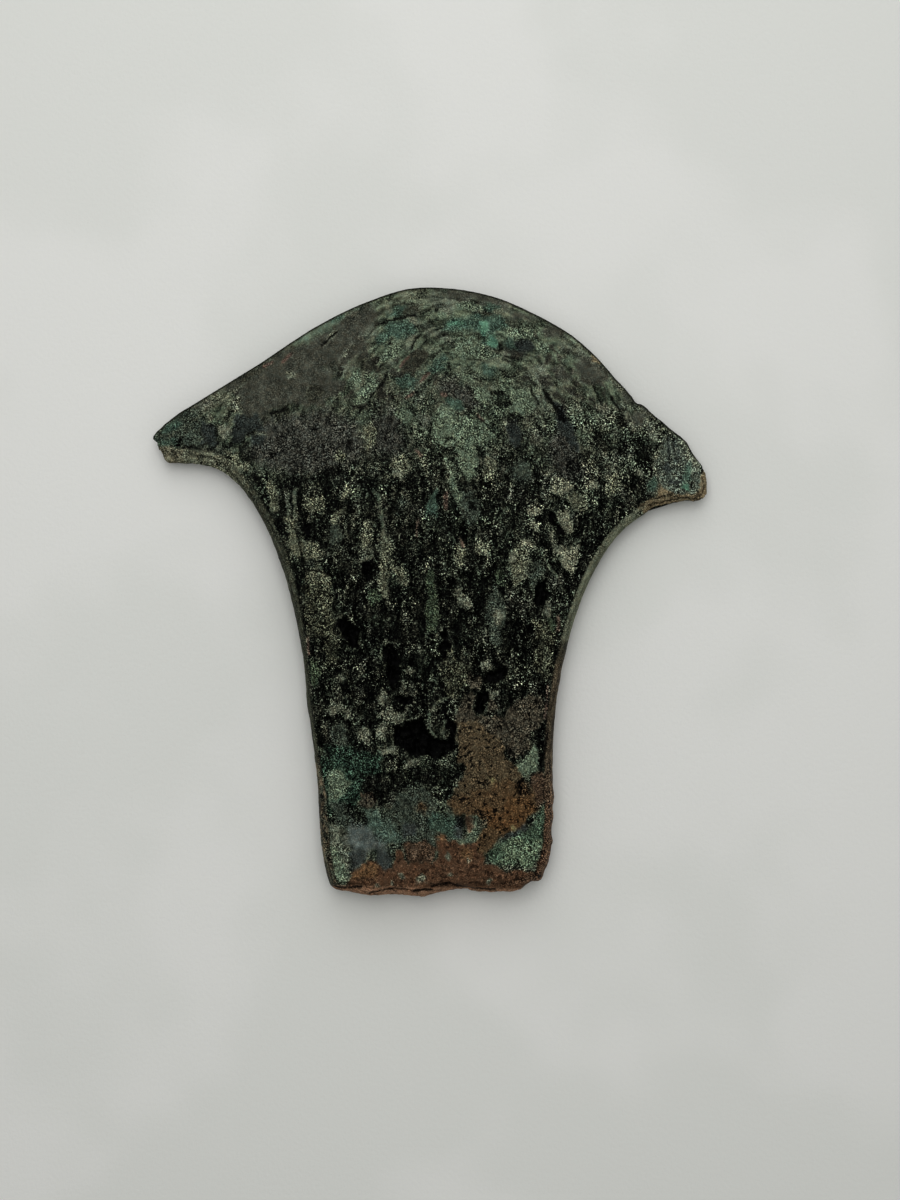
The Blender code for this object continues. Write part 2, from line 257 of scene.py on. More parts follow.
# Brightness of the crust along Y, in millimetres
TONE_ALONG = (-61, -50, -42, -34, -20, -8, 4, 14, 20, 26, 32, 40, 61)
TONE_SHARE = (0.24, 0.25, 0.21, 0.12, 0.075, 0.075, 0.095, 0.105, 0.13, 0.19, 0.25, 0.31, 0.33)

# Breaks and nicks of the silhouette, walked round with the metal on the left, in millimetres
BREAKS = (
    ((-48, 36.9), (-50, 35.4), (-52, 33.9), (-53.6, 32.5), (-54.8, 31.3), (-55.35, 30.6), (-55.1, 30),
     (-54.5, 29.5), (-54.3, 28.6), (-54.1, 28.1), (-53.6, 27.7), (-53.3, 26.9), (-53, 26),
     (-52.7, 25.5), (-52.2, 25.3), (-50, 25.2), (-47, 25.1), (-45, 24.8)),
    ((-22.4, -38), (-22.1, -45), (-21.8, -50), (-21.2, -54), (-20.5, -57), (-20, -58.8), (-19, -59.4),
     (-17, -59.9), (-15, -60.3), (-12, -60.6), (-10, -60.7), (-5, -60.6), (-1, -60.75), (0.4, -60.5),
     (2, -60.3), (3.6, -59.9), (5, -59.5), (7.4, -59.5), (9.6, -60.2), (11, -59.9), (14, -59.7),
     (16, -59.9), (17.6, -59.5), (19, -58.7), (20.2, -58), (21.6, -57.9), (22.4, -57.3),
     (22.9, -55.8), (23.8, -53.8), (24.1, -52), (24.3, -50.6), (24.6, -49.8), (24.3, -48.2),
     (24.3, -47), (24.65, -45.6), (24.75, -44.4), (24.55, -43), (24.9, -41), (24.9, -38)),
    ((42, 15.9), (45, 16.6), (48, 17.2), (50, 17.6), (51.2, 17.9), (52.4, 17.6), (53.6, 17.8),
     (54.6, 18.3), (55.2, 19.2), (55.3, 20.4), (55.3, 21.6), (55, 23.2), (54.2, 25), (53, 26.5),
     (51.8, 28.4), (51.5, 29.2), (51.2, 29.6), (50, 30.7), (48, 32.2), (46.2, 33.8), (45, 34.7),
     (44, 35.6), (43, 36.6), (42.3, 37.1), (41.7, 37.2), (41.2, 37.35), (40.8, 37.8), (40.3, 38.6),
     (39.6, 39.3), (38.6, 40.4)),
)
# How far in from the silhouette they are felt, over what length they begin and end, and how far
# they move it at most, in millimetres
BREAK_FADE = (0.8, 4.0)
BREAK_ENDS = (0.3, 3.0)
LARGEST_SHIFT = 1.5

# How far the cutting edge lies out from the smooth arc, along X, in millimetres, from the height
# where the blade begins and away from the middle of its fan
EDGE_ALONG = (-48, -40, -34, -24, -11, -4, 4, 14, 20, 28, 33, 37, 40)
EDGE_SHIFT = (0, -0.3, -0.5, -0.2, -0.5, -0.2, -0.15, 0.1, 0.05, 0.45, 0.25, -0.2, 0)
EDGE_FROM = 36
FAN_CENTRE = (0, 10)

# Widths of the side strips in millimetres: right side, left side along Y, and left horn
STRIP_RIGHT = 2.0
STRIP_ALONG = (-40, -33, -12, 2)
STRIP_LEFT = (2.0, 1.3, 1.3, 2.2)
STRIP_HORN = 3.1


def oval(x, y, length, width, turn=0):
    """Outline of a patch with its half length and half width; turn in degrees from the X axis."""
    cosine, sine = math.cos(math.radians(turn)), math.sin(math.radians(turn))
    corners = []
    for step in range(12):
        along = length * math.cos(step * math.pi / 6)
        across = width * math.sin(step * math.pi / 6)
        corners.append((x + along * cosine - across * sine, y + along * sine + across * cosine))
    return tuple(corners)


# Patches on the upper face in the order in which they lie over each other, in millimetres from
# the middle of the head: across and towards the cutting edge
PATCHES = (
    (GREY_FILM, (
        ((-33, 34), (-20, 35.4), (-15, 33), (-12, 27), (-18, 24), (-28, 22.4), (-36, 27)),
        oval(26.5, 27, 3, 5, 10), oval(6, 39, 4.5, 1.6, -30), oval(-8.5, 31, 3.5, 5),
    )),
    (OLIVE_SKIN, (
        ((-41.5, 40.4), (-36, 43.8), (-30, 47.4), (-26, 48.8), (-20, 52.4), (-14, 56.6),
         (-10.4, 56.4), (-10.4, 53.4), (-13.6, 51.2), (-12.4, 48.2), (-15.6, 45.6), (-20.6, 44.4),
         (-17.4, 40.4), (-21.4, 36.2), (-27.6, 37), (-32.6, 35.2), (-37, 33.6), (-38.2, 38.4)),
        ((28.6, 45.2), (32, 46.6), (36, 42.6), (34.4, 40.6), (30.6, 41.2)),
        ((24.6, 43.6), (26.6, 44.6), (28.2, 42.4), (26.6, 41)),
        ((16.6, 55.8), (20.8, 54.6), (20, 53.6), (17, 54.2)),
        ((23.4, 53), (26.8, 52.2), (27.2, 50.6), (24, 50.2), (22.6, 51.6)),
        ((3.4, 60.2), (9, 59.8), (15, 57.6), (15, 56.2), (9.6, 57.6), (4, 58.4)),
        oval(39.5, 39, 1.6, 0.9, -45), oval(41.5, 34, 1.6, 1.2, -40),
    )),
    (EDGE_GREEN, (
        ((-28.4, 49), (-24, 52), (-20, 55), (-16, 57), (-13.4, 57.6), (-16.6, 55), (-18.6, 52.6),
         (-22, 50.8), (-25.4, 48.8)),
    )),
    (BROWN_SKIN, (
        ((-5.4, 45), (-3.6, 47), (-1.2, 48.2), (0.1, 46.4), (-1, 45.2), (-2.6, 43.6), (-3, 41.8),
         (-5, 42), (-6, 43.4)),
        ((-13, 45), (-11, 45.6), (-9.8, 43.6), (-12, 42.8)),
        ((-15, 38.4), (-12.8, 37.8), (-12, 36), (-15.4, 35.8)),
        oval(1.2, 41.8, 0.7, 0.9), oval(9.2, 53.4, 0.9, 0.8), oval(-36, 42.6, 2.4, 0.6, 30),
        oval(-45.5, 38.4, 2, 0.5, 35), oval(-23, 39, 2, 1.6),
    )),
    (PALE_GREEN, (
        ((0.2, 33.6), (1.8, 36.2), (4.8, 36.4), (6.4, 34), (9, 35.2), (11.4, 33), (13.4, 30.4),
         (11, 29), (9.2, 28.4), (9.2, 25.4), (8.6, 21.8), (6.2, 22.2), (5.4, 25.6), (5, 28.6),
         (3, 28), (0.8, 28.8)),
        ((3.4, 26.4), (4.6, 25), (5.4, 20), (6.8, 18.6), (6.4, 16.6), (4.6, 18), (3.4, 22)),
        ((5.6, 49.6), (8, 50.6), (10.4, 49), (14, 46.6), (12, 45.4), (7, 46), (4.6, 47.4)),
        ((8.6, 40), (10.4, 40.4), (12, 38), (10.6, 36.4), (9, 37.4)),
        ((16.4, 39.4), (19.4, 39.6), (20.4, 36), (18, 33.8), (14.6, 35.6)),
        oval(-7.5, 47, 2.6, 1.3, 30), oval(-11.6, 41.4, 1.5, 1.9), oval(-15, 42, 1.1, 2),
        oval(-13.4, 38.2, 2.2, 1, 55), oval(17.5, 51.4, 3.4, 0.9, -18), oval(8, 56.6, 2.6, 0.8),
        oval(22, 48.6, 1.8, 1, -35), oval(-5, 34.4, 2, 1.1, -20),
    )),
    (DULL_KHAKI, (
        ((2, -13.8), (4.2, -10), (5, -13), (7.4, -15), (8, -17), (6.6, -19.4), (4.8, -21.2),
         (3, -20.2), (2.2, -17)),
    )),
    (DULL_GREEN, (
        ((-6, -38), (-1, -38.6), (1.6, -43), (1.4, -50), (-1, -52.6), (-5, -50), (-9.6, -45),
         (-7, -42)),
        oval(-18, -29, 1.6, 3), oval(13, -5, 2, 6), oval(-18.8, 11.5, 1.4, 2.6), oval(21, 3.4, 1.6, 3),
        oval(8, 16, 2, 3.4), oval(18, 23, 2, 3), oval(-6, 17, 0.8, 2),
    )),
    (LOW_TEAL, (
        ((-21, -30), (-15, -31), (-13.6, -36), (-13, -41), (-16, -44), (-20.6, -44), (-21.4, -36)),
    )),
    (LOW_TEAL, (((-14.6, -32), (-10, -31.6), (-9.6, -35.6), (-14, -37)),)),
    (DULL_KHAKI, (
        ((-24.8, 2), (-20, 1.4), (-18.6, -3.6), (-18.8, -8), (-17.8, -13.4), (-20, -15), (-21, -9.4),
         (-24.4, -9), (-25, -3)),
        ((20, -6), (24.6, -6), (25, -14), (23, -18), (20, -15), (21, -10)),
    )),
    (PALE_FILM, (((-48.6, 36.2), (-44, 38.6), (-42, 38), (-44, 35.8)), oval(43.6, 35.4, 1.8, 0.8, -40))),
    (KHAKI_CRUST, (
        ((-28.6, 14.6), (-26.2, 14), (-25.8, 10.2), (-23.4, 9.2), (-21.6, 9.6), (-21.4, 6.6),
         (-24, 5.8), (-26, 6.4), (-27.4, 7)),
        ((-25, 4.6), (-21, 4.4), (-19.4, 2.6), (-20, 1), (-24.4, 1.4), (-25.2, 2)),
        ((-24.8, 18), (-22.4, 18.4), (-20.6, 17.6), (-20.8, 15.6), (-24.4, 15.6)),
        ((-32, 22), (-30, 21), (-30.2, 15.6), (-31.8, 16)),
        ((-12.8, 14), (-11, 13), (-11.4, 9), (-13.8, 8.4)),
        ((-9.4, 10.6), (-7.6, 10.2), (-8, 2), (-8.6, -2), (-10.4, 0), (-10, 5)),
        ((-7, 5), (-4.8, 4.6), (-4.6, 1.6), (-6.6, 1)),
        ((15.6, 7), (18, 9.6), (20, 6), (19, 2), (16, 1)),
        oval(-16.5, 19.8, 0.9, 1.2), oval(-18.4, 14.4, 0.9, 1.4), oval(10.4, 8.4, 1.3, 1.5),
        oval(29, 17.4, 2.6, 1.4, -40), oval(36.6, 21, 1.4, 2.2), oval(-38.6, 25.6, 3, 1.2, -40),
        oval(-5.6, 24.6, 1.6, 2.4), oval(-17.6, 26.6, 1.2, 1.6), oval(12, 24, 1.4, 2.6),
        oval(-12, 30.4, 1.6, 2.6), oval(-15.5, -9.6, 0.8, 2.4, 60), oval(6, 7, 1, 2.6),
        oval(31.6, 26.4, 0.9, 3, 20),
    )),
    (LEAF_GREEN, (
        ((-0.5, 4), (0.5, 4.6), (1.1, 1), (1.6, -2.4), (2.1, -5), (1.2, -8), (-0.6, -8),
         (-0.7, -3), (-0.5, 1)),
        ((-12, 0), (-10.2, 0.6), (-9.6, -1.8), (-11.6, -3.4), (-12.4, -1.6)),
        oval(14, 2.8, 1, 2), oval(-22.6, -16.4, 1.2, 2.4), oval(24, -6.4, 0.7, 1.4),
    )),
    (BRIGHT_CRUST, (
        ((24.2, 12), (25, 9), (26, 7), (24.8, 6.4), (24, 9)),
        ((25.6, 15.4), (26.8, 15.8), (28.4, 13.2), (28.6, 11.6), (27, 11.4), (25.8, 13)),
        ((25.4, 8.8), (29, 8.4), (29.6, 6.4), (28, 3.6), (26, 4.8)),
        ((23.6, 22.4), (27, 22.2), (28.4, 20.4), (27, 19.4), (24, 19.6)),
        oval(20.6, 15.8, 0.8, 1), oval(20.8, 12.8, 0.8, 1.2), oval(32, 21, 1.3, 1),
        oval(36.6, 24.2, 0.5, 1.1), oval(19.6, 8.8, 1.6, 0.5, -30),
    )),
    (PALE_CRUST, (
        ((5.4, 0.2), (6.6, -0.6), (8.2, -2.6), (7, -3.6), (5.6, -2.4)),
        ((-42.4, 32), (-40.6, 32.8), (-39.4, 31.8), (-40, 30), (-41.6, 30.6)),
        ((-39.6, 38), (-38, 38.2), (-37.6, 36), (-39, 35.4)),
        oval(23.5, 23.2, 0.8, 1.1), oval(13.4, -5.2, 1, 1.6), oval(23.4, -3.8, 0.8, 1.4),
        oval(11.4, -14.9, 1.3, 0.6), oval(12.2, -20.2, 1.2, 0.7, -30),
        oval(-17.2, -17.6, 0.9, 0.9), oval(-16, -24, 0.9, 1.5),
        oval(-4, -15.8, 1.2, 0.9), oval(-9.2, -21, 0.8, 1.5), oval(-18.8, -23.2, 1.2, 1.3),
        oval(-7.4, -24.6, 2.6, 1.2, -10), oval(-5.2, -19.2, 0.5, 1.4), oval(-9.6, -27.6, 0.9, 1.8),
        oval(-12.6, -28.3, 1.1, 1.5), oval(-8, -31.4, 1.6, 0.6), oval(-3.4, -33.6, 1.6, 0.9),
        oval(-2.2, -11.6, 0.5, 1.1),
        oval(-43.6, 34.4, 0.8, 0.7), oval(-33.4, 31, 1.2, 0.4), oval(-27.4, 42.6, 0.9, 0.8),
        oval(16.4, 6.4, 0.7, 1.2), oval(34.6, 36.4, 1.6, 1.2, -30),
        oval(37.4, 41, 1.6, 0.5, -40), oval(39.6, 33.6, 0.7, 1.8, 20), oval(44, 31.6, 0.9, 1.6, 20),
        oval(52, 27, 0.6, 2.4, 30), oval(41.8, 23.4, 0.8, 0.8), oval(45, 25.6, 0.7, 1.6),
        oval(-6.2, 22.6, 1.1, 0.9), oval(-19.4, 51, 0.3, 1.6, -40), oval(-16.2, 47.6, 0.3, 1.6, -40),
    )),
    (HORN_FILM, (
        ((45, 20), (45.2, 25), (45.8, 28), (46.6, 31.4), (50, 30.6), (52, 27.4), (54, 24.2), (54.4, 21),
         (53, 18.6), (47, 18.6)),
        ((42.6, 22.4), (44.8, 22), (45, 19.6), (43.2, 19.4)),
    )),
    (DULL_GREEN, (
        ((-54.6, 29), (-54.8, 31), (-52, 33.4), (-49, 35.4), (-46, 36.4), (-45, 33), (-45.6, 29),
         (-50, 28.6)),
    )),
    (HORN_PALE, (
        ((49.6, 30.6), (51.2, 29.4), (53, 26.6), (54, 24.8), (52.4, 23.6), (51.6, 26), (50.4, 28.4)),
        ((42.8, 33.4), (44.4, 34), (45.4, 31.4), (44.6, 29.8), (43, 31)),
    )),
    (SLATE_FILM, (
        ((-45.2, 33.2), (-42.6, 32.8), (-42.8, 29), (-45.4, 29.6)),
        ((-38.6, 34.4), (-34, 34.8), (-32.6, 32), (-36, 31), (-39.6, 28.6)),
        ((-35.6, 31), (-32.8, 30.6), (-32.8, 28.6), (-35, 28.8)),
        ((24.4, 37.4), (26.4, 36.6), (28.6, 32), (29.6, 28), (27.4, 29), (25.6, 31.6)),
        oval(49, 27.6, 0.3, 2.4), oval(47.8, 28.4, 0.2, 2.4), oval(47.4, 24.4, 0.8, 0.8),
        oval(48.6, 21.8, 1.4, 0.5),
        oval(16.8, 31, 1.4, 2.6, 10), oval(18.6, 48.6, 2, 1.2),
    )),
    (BLUE_TEAL, (
        ((-11, 49.2), (-9.6, 50.9), (-7.8, 53.2), (-5.4, 54), (-3.2, 52.8), (-2.6, 51.2),
         (-5, 50.2), (-7.6, 50.4), (-9.4, 48.8)),
        ((2.2, 51.6), (4, 53.8), (8.4, 54.6), (14.4, 54.8), (15.2, 53), (13.2, 51.2), (13, 48.4),
         (10.8, 49.2), (10, 52), (8.4, 51.6), (6, 52)),
        oval(-52.4, 29.2, 2, 0.9, 5), oval(-6.6, 55.8, 1.6, 1, 20), oval(12, 56.4, 1.2, 0.7),
        oval(4.6, 36.8, 2.2, 0.7, -20), oval(-18.4, 54.4, 1.6, 0.6, 30),
    )),
    (DULL_TEAL, (
        ((0, 44.2), (1.4, 45.4), (2.6, 46.8), (3.4, 45.6), (2.6, 43), (0.4, 42.8)),
        ((0, 18.6), (1.6, 20), (2, 17), (1, 14), (-0.6, 14.6), (-1, 17)),
        ((1.4, -44.4), (4, -43.8), (5.4, -46), (4.8, -48.6), (3, -48.6), (1.2, -47)),
        oval(11.6, 43.4, 1.4, 1.3), oval(16, 49, 1.2, 1), oval(-4.6, 41.4, 1.8, 1.6),
        oval(51.4, 23.4, 0.8, 2, 10), oval(44, 21, 0.9, 1.2), oval(50.6, 21, 1, 0.7, 60),
        oval(-51.6, 32.6, 1.8, 0.8, 40), oval(14.4, -31.6, 1, 0.7), oval(9, -43.8, 1.2, 0.8),
    )),
    (BRIGHT_TEAL, (
        oval(10.9, 52.2, 1.1, 1.2), oval(12.6, 49.6, 0.9, 1), oval(5, 53, 1.8, 0.5),
        oval(50.8, 20.8, 0.8, 0.9),
    )),
    (DULL_GREEN, (
        ((-19.6, -41.6), (-17, -41.6), (-15, -43), (-15, -46), (-18.6, -46)),
    )),
    (BLUE_GREY, (
        ((-16.6, -46), (-13, -45.8), (-10, -47.6), (-8.6, -50.6), (-12, -51.6), (-15.2, -51.6),
         (-16.4, -49)),
    )),
    # Painted sheen near the butt, laid over a teal film
    (TEAL_AND_PAINTED_SHEEN, (
        ((-12.8, -43), (-9.6, -43.4), (-8.8, -45.2), (-5, -48.4), (-5.8, -50), (-9, -49.2),
         (-12.2, -46.2)),
    )),
    (DARK_SLATE, (
        ((-15.8, -51.4), (-13.6, -50.6), (-12.2, -52), (-13, -53), (-14.8, -55.6), (-15.8, -54.4)),
        ((-11.6, -50), (-10, -50.6), (-7.4, -52), (-7.2, -53.8), (-8.4, -56), (-9.8, -54.4),
         (-10.4, -52.4)),
        ((-5, -46.2), (-2.4, -45.4), (-2.6, -47.4), (-4.8, -48.6)), oval(5.8, -46.8, 0.8, 2),
        ((14.4, -48.6), (17.6, -46.6), (19.4, -45), (19.2, -48), (16.4, -49)),
    )),
    (DULL_TEAL, (
        ((-0.4, -44.4), (3.6, -44), (4.8, -46.4), (4.6, -48.8), (2.8, -48.6), (0.4, -47)),
        oval(9, -44, 1.2, 0.7), oval(-1.6, -51, 0.8, 1.8, 10),
    )),
    (CRYSTAL_BED, (
        ((10.4, -51.4), (12.6, -50), (14.6, -49.4), (17, -48.4), (19.8, -46.4), (21.4, -44.4),
         (23.6, -41.6), (23.4, -47.6), (22, -50), (14.4, -54.2), (11.4, -53.8)),
    )),
    (HORN_PALE, (
        ((-20.2, -46), (-18, -46.6), (-17.4, -50), (-15.8, -51), (-16.2, -55), (-16.4, -58),
         (-19.8, -58)),
    )),
    (PALE_GREEN, (
        ((-19.8, -50), (-18, -50.6), (-17.4, -53), (-16.4, -55), (-16.4, -58), (-19.4, -58)),
        ((-20.2, -36), (-17, -35), (-15.4, -38), (-16.4, -40), (-18, -41.2), (-20.2, -41)),
        ((16.4, -34.6), (18.4, -32.4), (20.6, -30.4), (21.8, -33), (21.4, -36), (18.6, -36.4)),
        ((8, -45.6), (9.6, -45), (9.8, -48), (9.4, -50), (6, -50), (5.4, -48.8), (7.4, -48.2)),
        oval(-21, -32, 0.5, 1.6, 40), oval(-12.4, -57.6, 1.6, 0.5), oval(1, -51.6, 0.7, 1.6),
        oval(-3.6, -51.6, 0.7, 1.2, -20),
    )),
    (BROWN_EARTH, (
        ((-13.4, -40), (-11.4, -39.6), (-10.6, -41), (-11.8, -42.8), (-13, -42)),
        ((-5, -49.8), (-1, -49.4), (1.4, -50.6), (0.8, -53.8), (-4.8, -53.4)),
        ((19.6, -36), (22.4, -36), (24, -38.4), (23.4, -41.4), (21, -42.6), (20, -40)),
        ((7.6, -43.6), (8.4, -45), (7.6, -47.4), (6.8, -45)),
    )),
    (ASH_COPPER, (
        ((8, -16.2), (9.8, -17), (9.8, -19.4), (8.4, -19.8), (7.6, -18)),
        ((5.2, -24.4), (7, -20.6), (8.6, -20.6), (8.6, -24.8), (13.4, -24.6), (14.4, -25.6),
         (16.2, -22), (18.6, -20.8), (22, -20.6), (22.8, -23), (22.4, -26.4), (20, -28),
         (19.8, -31), (17, -32.6), (13, -30), (9, -29), (5.4, -28)),
        oval(-12.4, -41.4, 1.2, 1.2), oval(12.4, -22.8, 0.8, 1.4),
    )),
    (OLIVE_COPPER, (
        ((5.2, -26), (9, -25.4), (12.8, -28.4), (15.4, -32.6), (17.2, -34.8), (18.4, -37.6),
         (19.6, -37), (20, -40), (21.2, -42.8), (18.8, -45), (14.2, -48.4), (10.4, -51), (8.4, -52),
         (8.6, -50.4), (9.8, -48.8), (10.4, -46.6), (12.4, -45.2), (10.6, -44.4), (8, -44), (5, -44.2),
         (3.2, -41), (5.4, -39), (6.6, -36.4), (7.6, -35), (5.6, -33.6), (5.6, -30)),
    )),
    (BROWN_COPPER, (
        ((4.4, -41), (8, -39.4), (12, -38.6), (15, -37), (19, -38), (20, -40), (21.2, -42.8),
         (18.8, -45), (14.2, -48.4), (10.6, -51), (10.6, -54.6), (5, -54.6), (3.6, -51), (5.4, -50),
         (9, -50), (10, -48.6), (10.6, -46.6), (12.6, -45.2), (10.6, -44.4), (8, -44), (5, -44.2)),
    )),
    (WARM_COPPER, (
        ((15.6, -40.6), (19, -40.4), (20.4, -43), (18.8, -45.4), (14, -47.6), (11, -46.6),
         (11, -42.4), (14, -44)),
        oval(-1.6, -42.6, 0.7, 0.7),
    )),
    (BUTT_COPPER, (
        ((-16, -57), (-14.8, -55), (-11.8, -53.2), (-10, -53), (-9, -55.4), (-6.9, -53.8),
         (-6.9, -51.4), (-5.8, -50.8), (-4.6, -53.4), (-1, -53), (0.8, -54.2), (1.6, -51.6),
         (1.4, -48.4), (2.8, -48.2), (6, -50), (9.6, -50), (10.6, -54), (16, -55.2),
         (20.6, -55.8), (21.8, -53), (23.6, -47), (25.6, -47), (24.6, -53), (22.4, -60),
         (10, -63), (-12, -63), (-17, -62)),
    )),
    (ORANGE_COPPER, (
        ((-15.6, -56.8), (-14.6, -55), (-11.6, -53.4), (-9.8, -53.6), (-10.6, -57), (-13, -56.4)),
        oval(7, -52, 1.4, 1.2), oval(2.2, -48.8, 0.7, 0.6),
    )),
    (PALE_CRUST, (
        oval(-1.8, -57, 0.9, 0.7), oval(3.8, -55.8, 0.4, 0.4), oval(-10.6, -58.4, 0.5, 0.9),
        oval(-5.6, -56.6, 0.5, 0.4), oval(3.8, -52, 0.5, 0.9), oval(7.6, -53, 0.3, 0.3),
        oval(12, -57.4, 0.3, 0.3), oval(-7.4, -57.6, 0.3, 0.3),
    )),
    (OCHRE, (oval(16.4, -46.6, 0.6, 0.7), oval(12.2, -37.4, 0.7, 0.4))),
    (HORN_COPPER, (
        ((45.2, 21.6), (46.8, 20), (49, 19), (52.6, 18.8), (53.6, 19.6), (54, 22.6), (55, 24.4),
         (56.4, 22), (56, 16), (44, 14.6), (41, 16.4), (43.6, 18), (45, 19.6)),
        oval(33, 46, 0.8, 1.2, 40),
    )),
    (CRYSTALS, (
        ((14.2, -50), (17, -48.9), (20, -49.4), (22.4, -49.4), (21.4, -52.4), (20.2, -54.4), (17, -54.1),
         (13.4, -54), (14.8, -52)),
    )),
)
# How bare their metal is, for the gloss and the pinholes
METALS = {ASH_COPPER: 1.0, OLIVE_COPPER: 1.0, BROWN_COPPER: 1.0, WARM_COPPER: 0.9, BUTT_COPPER: 0.5,
          ORANGE_COPPER: 0.4, HORN_COPPER: 0.4}

# Where the crust of the blade has come off in flakes
FLAKED = (
    ((-24, 46), (-19, 50), (-14, 52.6), (-9, 49), (-4.6, 45), (-3, 40.6), (-8, 36.6), (-16, 36),
     (-23, 38), (-27, 42)),
    ((16, 53), (24, 50.6), (32, 44.6), (37, 38), (31, 34), (22, 38), (15, 46)),
)

# Black glossy hollows, each with a pale raised rim
JET = (
    ((-9.4, -10.8), (-7, -10.4), (-6.2, -13), (-6, -17), (-7.2, -19.6), (-8.6, -17), (-9, -13.4)),
    ((-7.2, -20.8), (-3.4, -20.8), (-3.2, -22.6), (-5.8, -22.4)),
    ((-7.4, -26.6), (-5, -26.4), (-2, -25), (-0.6, -26), (0.4, -29.2), (3.4, -29.4), (3.2, -24.4),
     (5, -24.6), (5, -31.4), (2, -33), (-3, -32.4), (-6.6, -30.6)),
    ((1.8, -8.2), (3.4, -7), (3.8, -9), (3.6, -13), (2.4, -13.4), (2.2, -10)),
    ((9.4, -20), (11.4, -19.6), (12, -21), (11, -22.6), (10, -25), (8.8, -23.6)),
    ((10.4, -16.2), (13, -16.4), (14.6, -14.2), (15.6, -15.6), (14, -18.4), (11, -18)),
    ((20.8, 1.2), (23, 2.6), (23.6, -1), (22, -3), (20.6, -2.6)),
    ((23.6, 16), (24.8, 15.4), (26.6, 11.6), (25.4, 11), (23.8, 13.4)),
    ((-13.6, 5), (-11.2, 7), (-10.9, 2), (-12, 1.6), (-13, 3)),
    ((-25.2, 13.4), (-23.6, 13), (-23.2, 10), (-24.8, 10)),
    ((-18.4, -6), (-16.4, -5), (-14, -8), (-13.8, -11), (-16, -11)),
)

# Dark stretches without a rim, where the crust is thin
SHADE = (
    ((-29.6, 19.4), (-27.6, 21.6), (-25.4, 23), (-24.4, 21.8), (-25.4, 20.4), (-25.2, 14),
     (-26, 14), (-26.2, 20.2), (-28.2, 19.2), (-28.8, 16.8)),
    ((-14, -3.4), (-9, -2.8), (-5, -4.4), (-5, -9.4), (-10.4, -9.4), (-11.6, -5)),
    ((-13.8, -38), (-12, -36.2), (-4, -34.6), (2, -35), (6.6, -35.4), (4, -38.6), (-4, -38),
     (-9, -42.6), (-11, -41.8), (-13, -39.6)),
    ((-17, -42.2), (-14.6, -42.2), (-12.4, -44.4), (-12.6, -46.6), (-14.8, -46.2)),
    ((-14.4, -25), (-12, -25.4), (-10, -27), (-10.4, -24), (-12.6, -22.6)),
    ((-22.4, -28), (-20, -29), (-20, -33), (-22, -32)),
    ((16.8, -2.6), (19, -3), (18.6, -4.8), (17, -4.6)),
    ((16.8, -37.4), (19, -36.8), (19.6, -39.6), (17, -39.6)),
    ((8, -43.4), (9.8, -43.2), (12.6, -44.6), (11.6, -45.2), (9.6, -44.2)),
    ((-20.4, 20.6), (-18, 20), (-17.4, 15.4), (-20, 15.4)),
    ((-8.6, 17.2), (-5.4, 17), (-5, 14), (-8.8, 14)),
    ((25, 36.4), (26.6, 36.6), (27.4, 34), (25.6, 33.6)),
    ((40, 30.4), (43.6, 30.6), (44, 26), (41, 25)), ((40.4, 22.6), (43, 22), (42.6, 19), (40, 20)),
    oval(2.8, 0, 0.7, 2.4), oval(5.4, -8, 2.2, 4), oval(15.2, -10, 1.3, 3), oval(14.6, 3.6, 0.5, 2.6),
    oval(9, 17.4, 1.2, 1.8), oval(18, 19, 1.4, 3), oval(30.6, 26.6, 1.2, 1.6), oval(4.8, 27, 0.3, 1),
    oval(-2.2, 18, 1.6, 1.4), oval(-2.6, 13, 1, 1.6), oval(-5.6, 10, 0.8, 2.6), oval(6, -45.8, 0.8, 1),
    oval(-50, 29.6, 1, 0.9), oval(-31, 27, 0.9, 0.9), oval(-18.6, 23.4, 1.8, 1.2), oval(2.2, 17, 0.5, 2),
    oval(15.6, -31.6, 1, 1), oval(38, 33.4, 1.4, 1.4), oval(34, 30, 1, 2.4, 20),
    oval(38.4, 28.6, 1.2, 1.6), oval(4.2, 30, 0.8, 0.5), oval(3.4, 27.4, 1.2, 0.7),
    oval(-15.8, 28.4, 0.6, 1.2), oval(28.2, 24.6, 1.4, 1.2), oval(15, 37, 1.6, 0.7),
    oval(16.8, 34, 1.8, 1), oval(13.6, 39.2, 1.6, 0.6), oval(-3, 12, 0.6, 1),
)

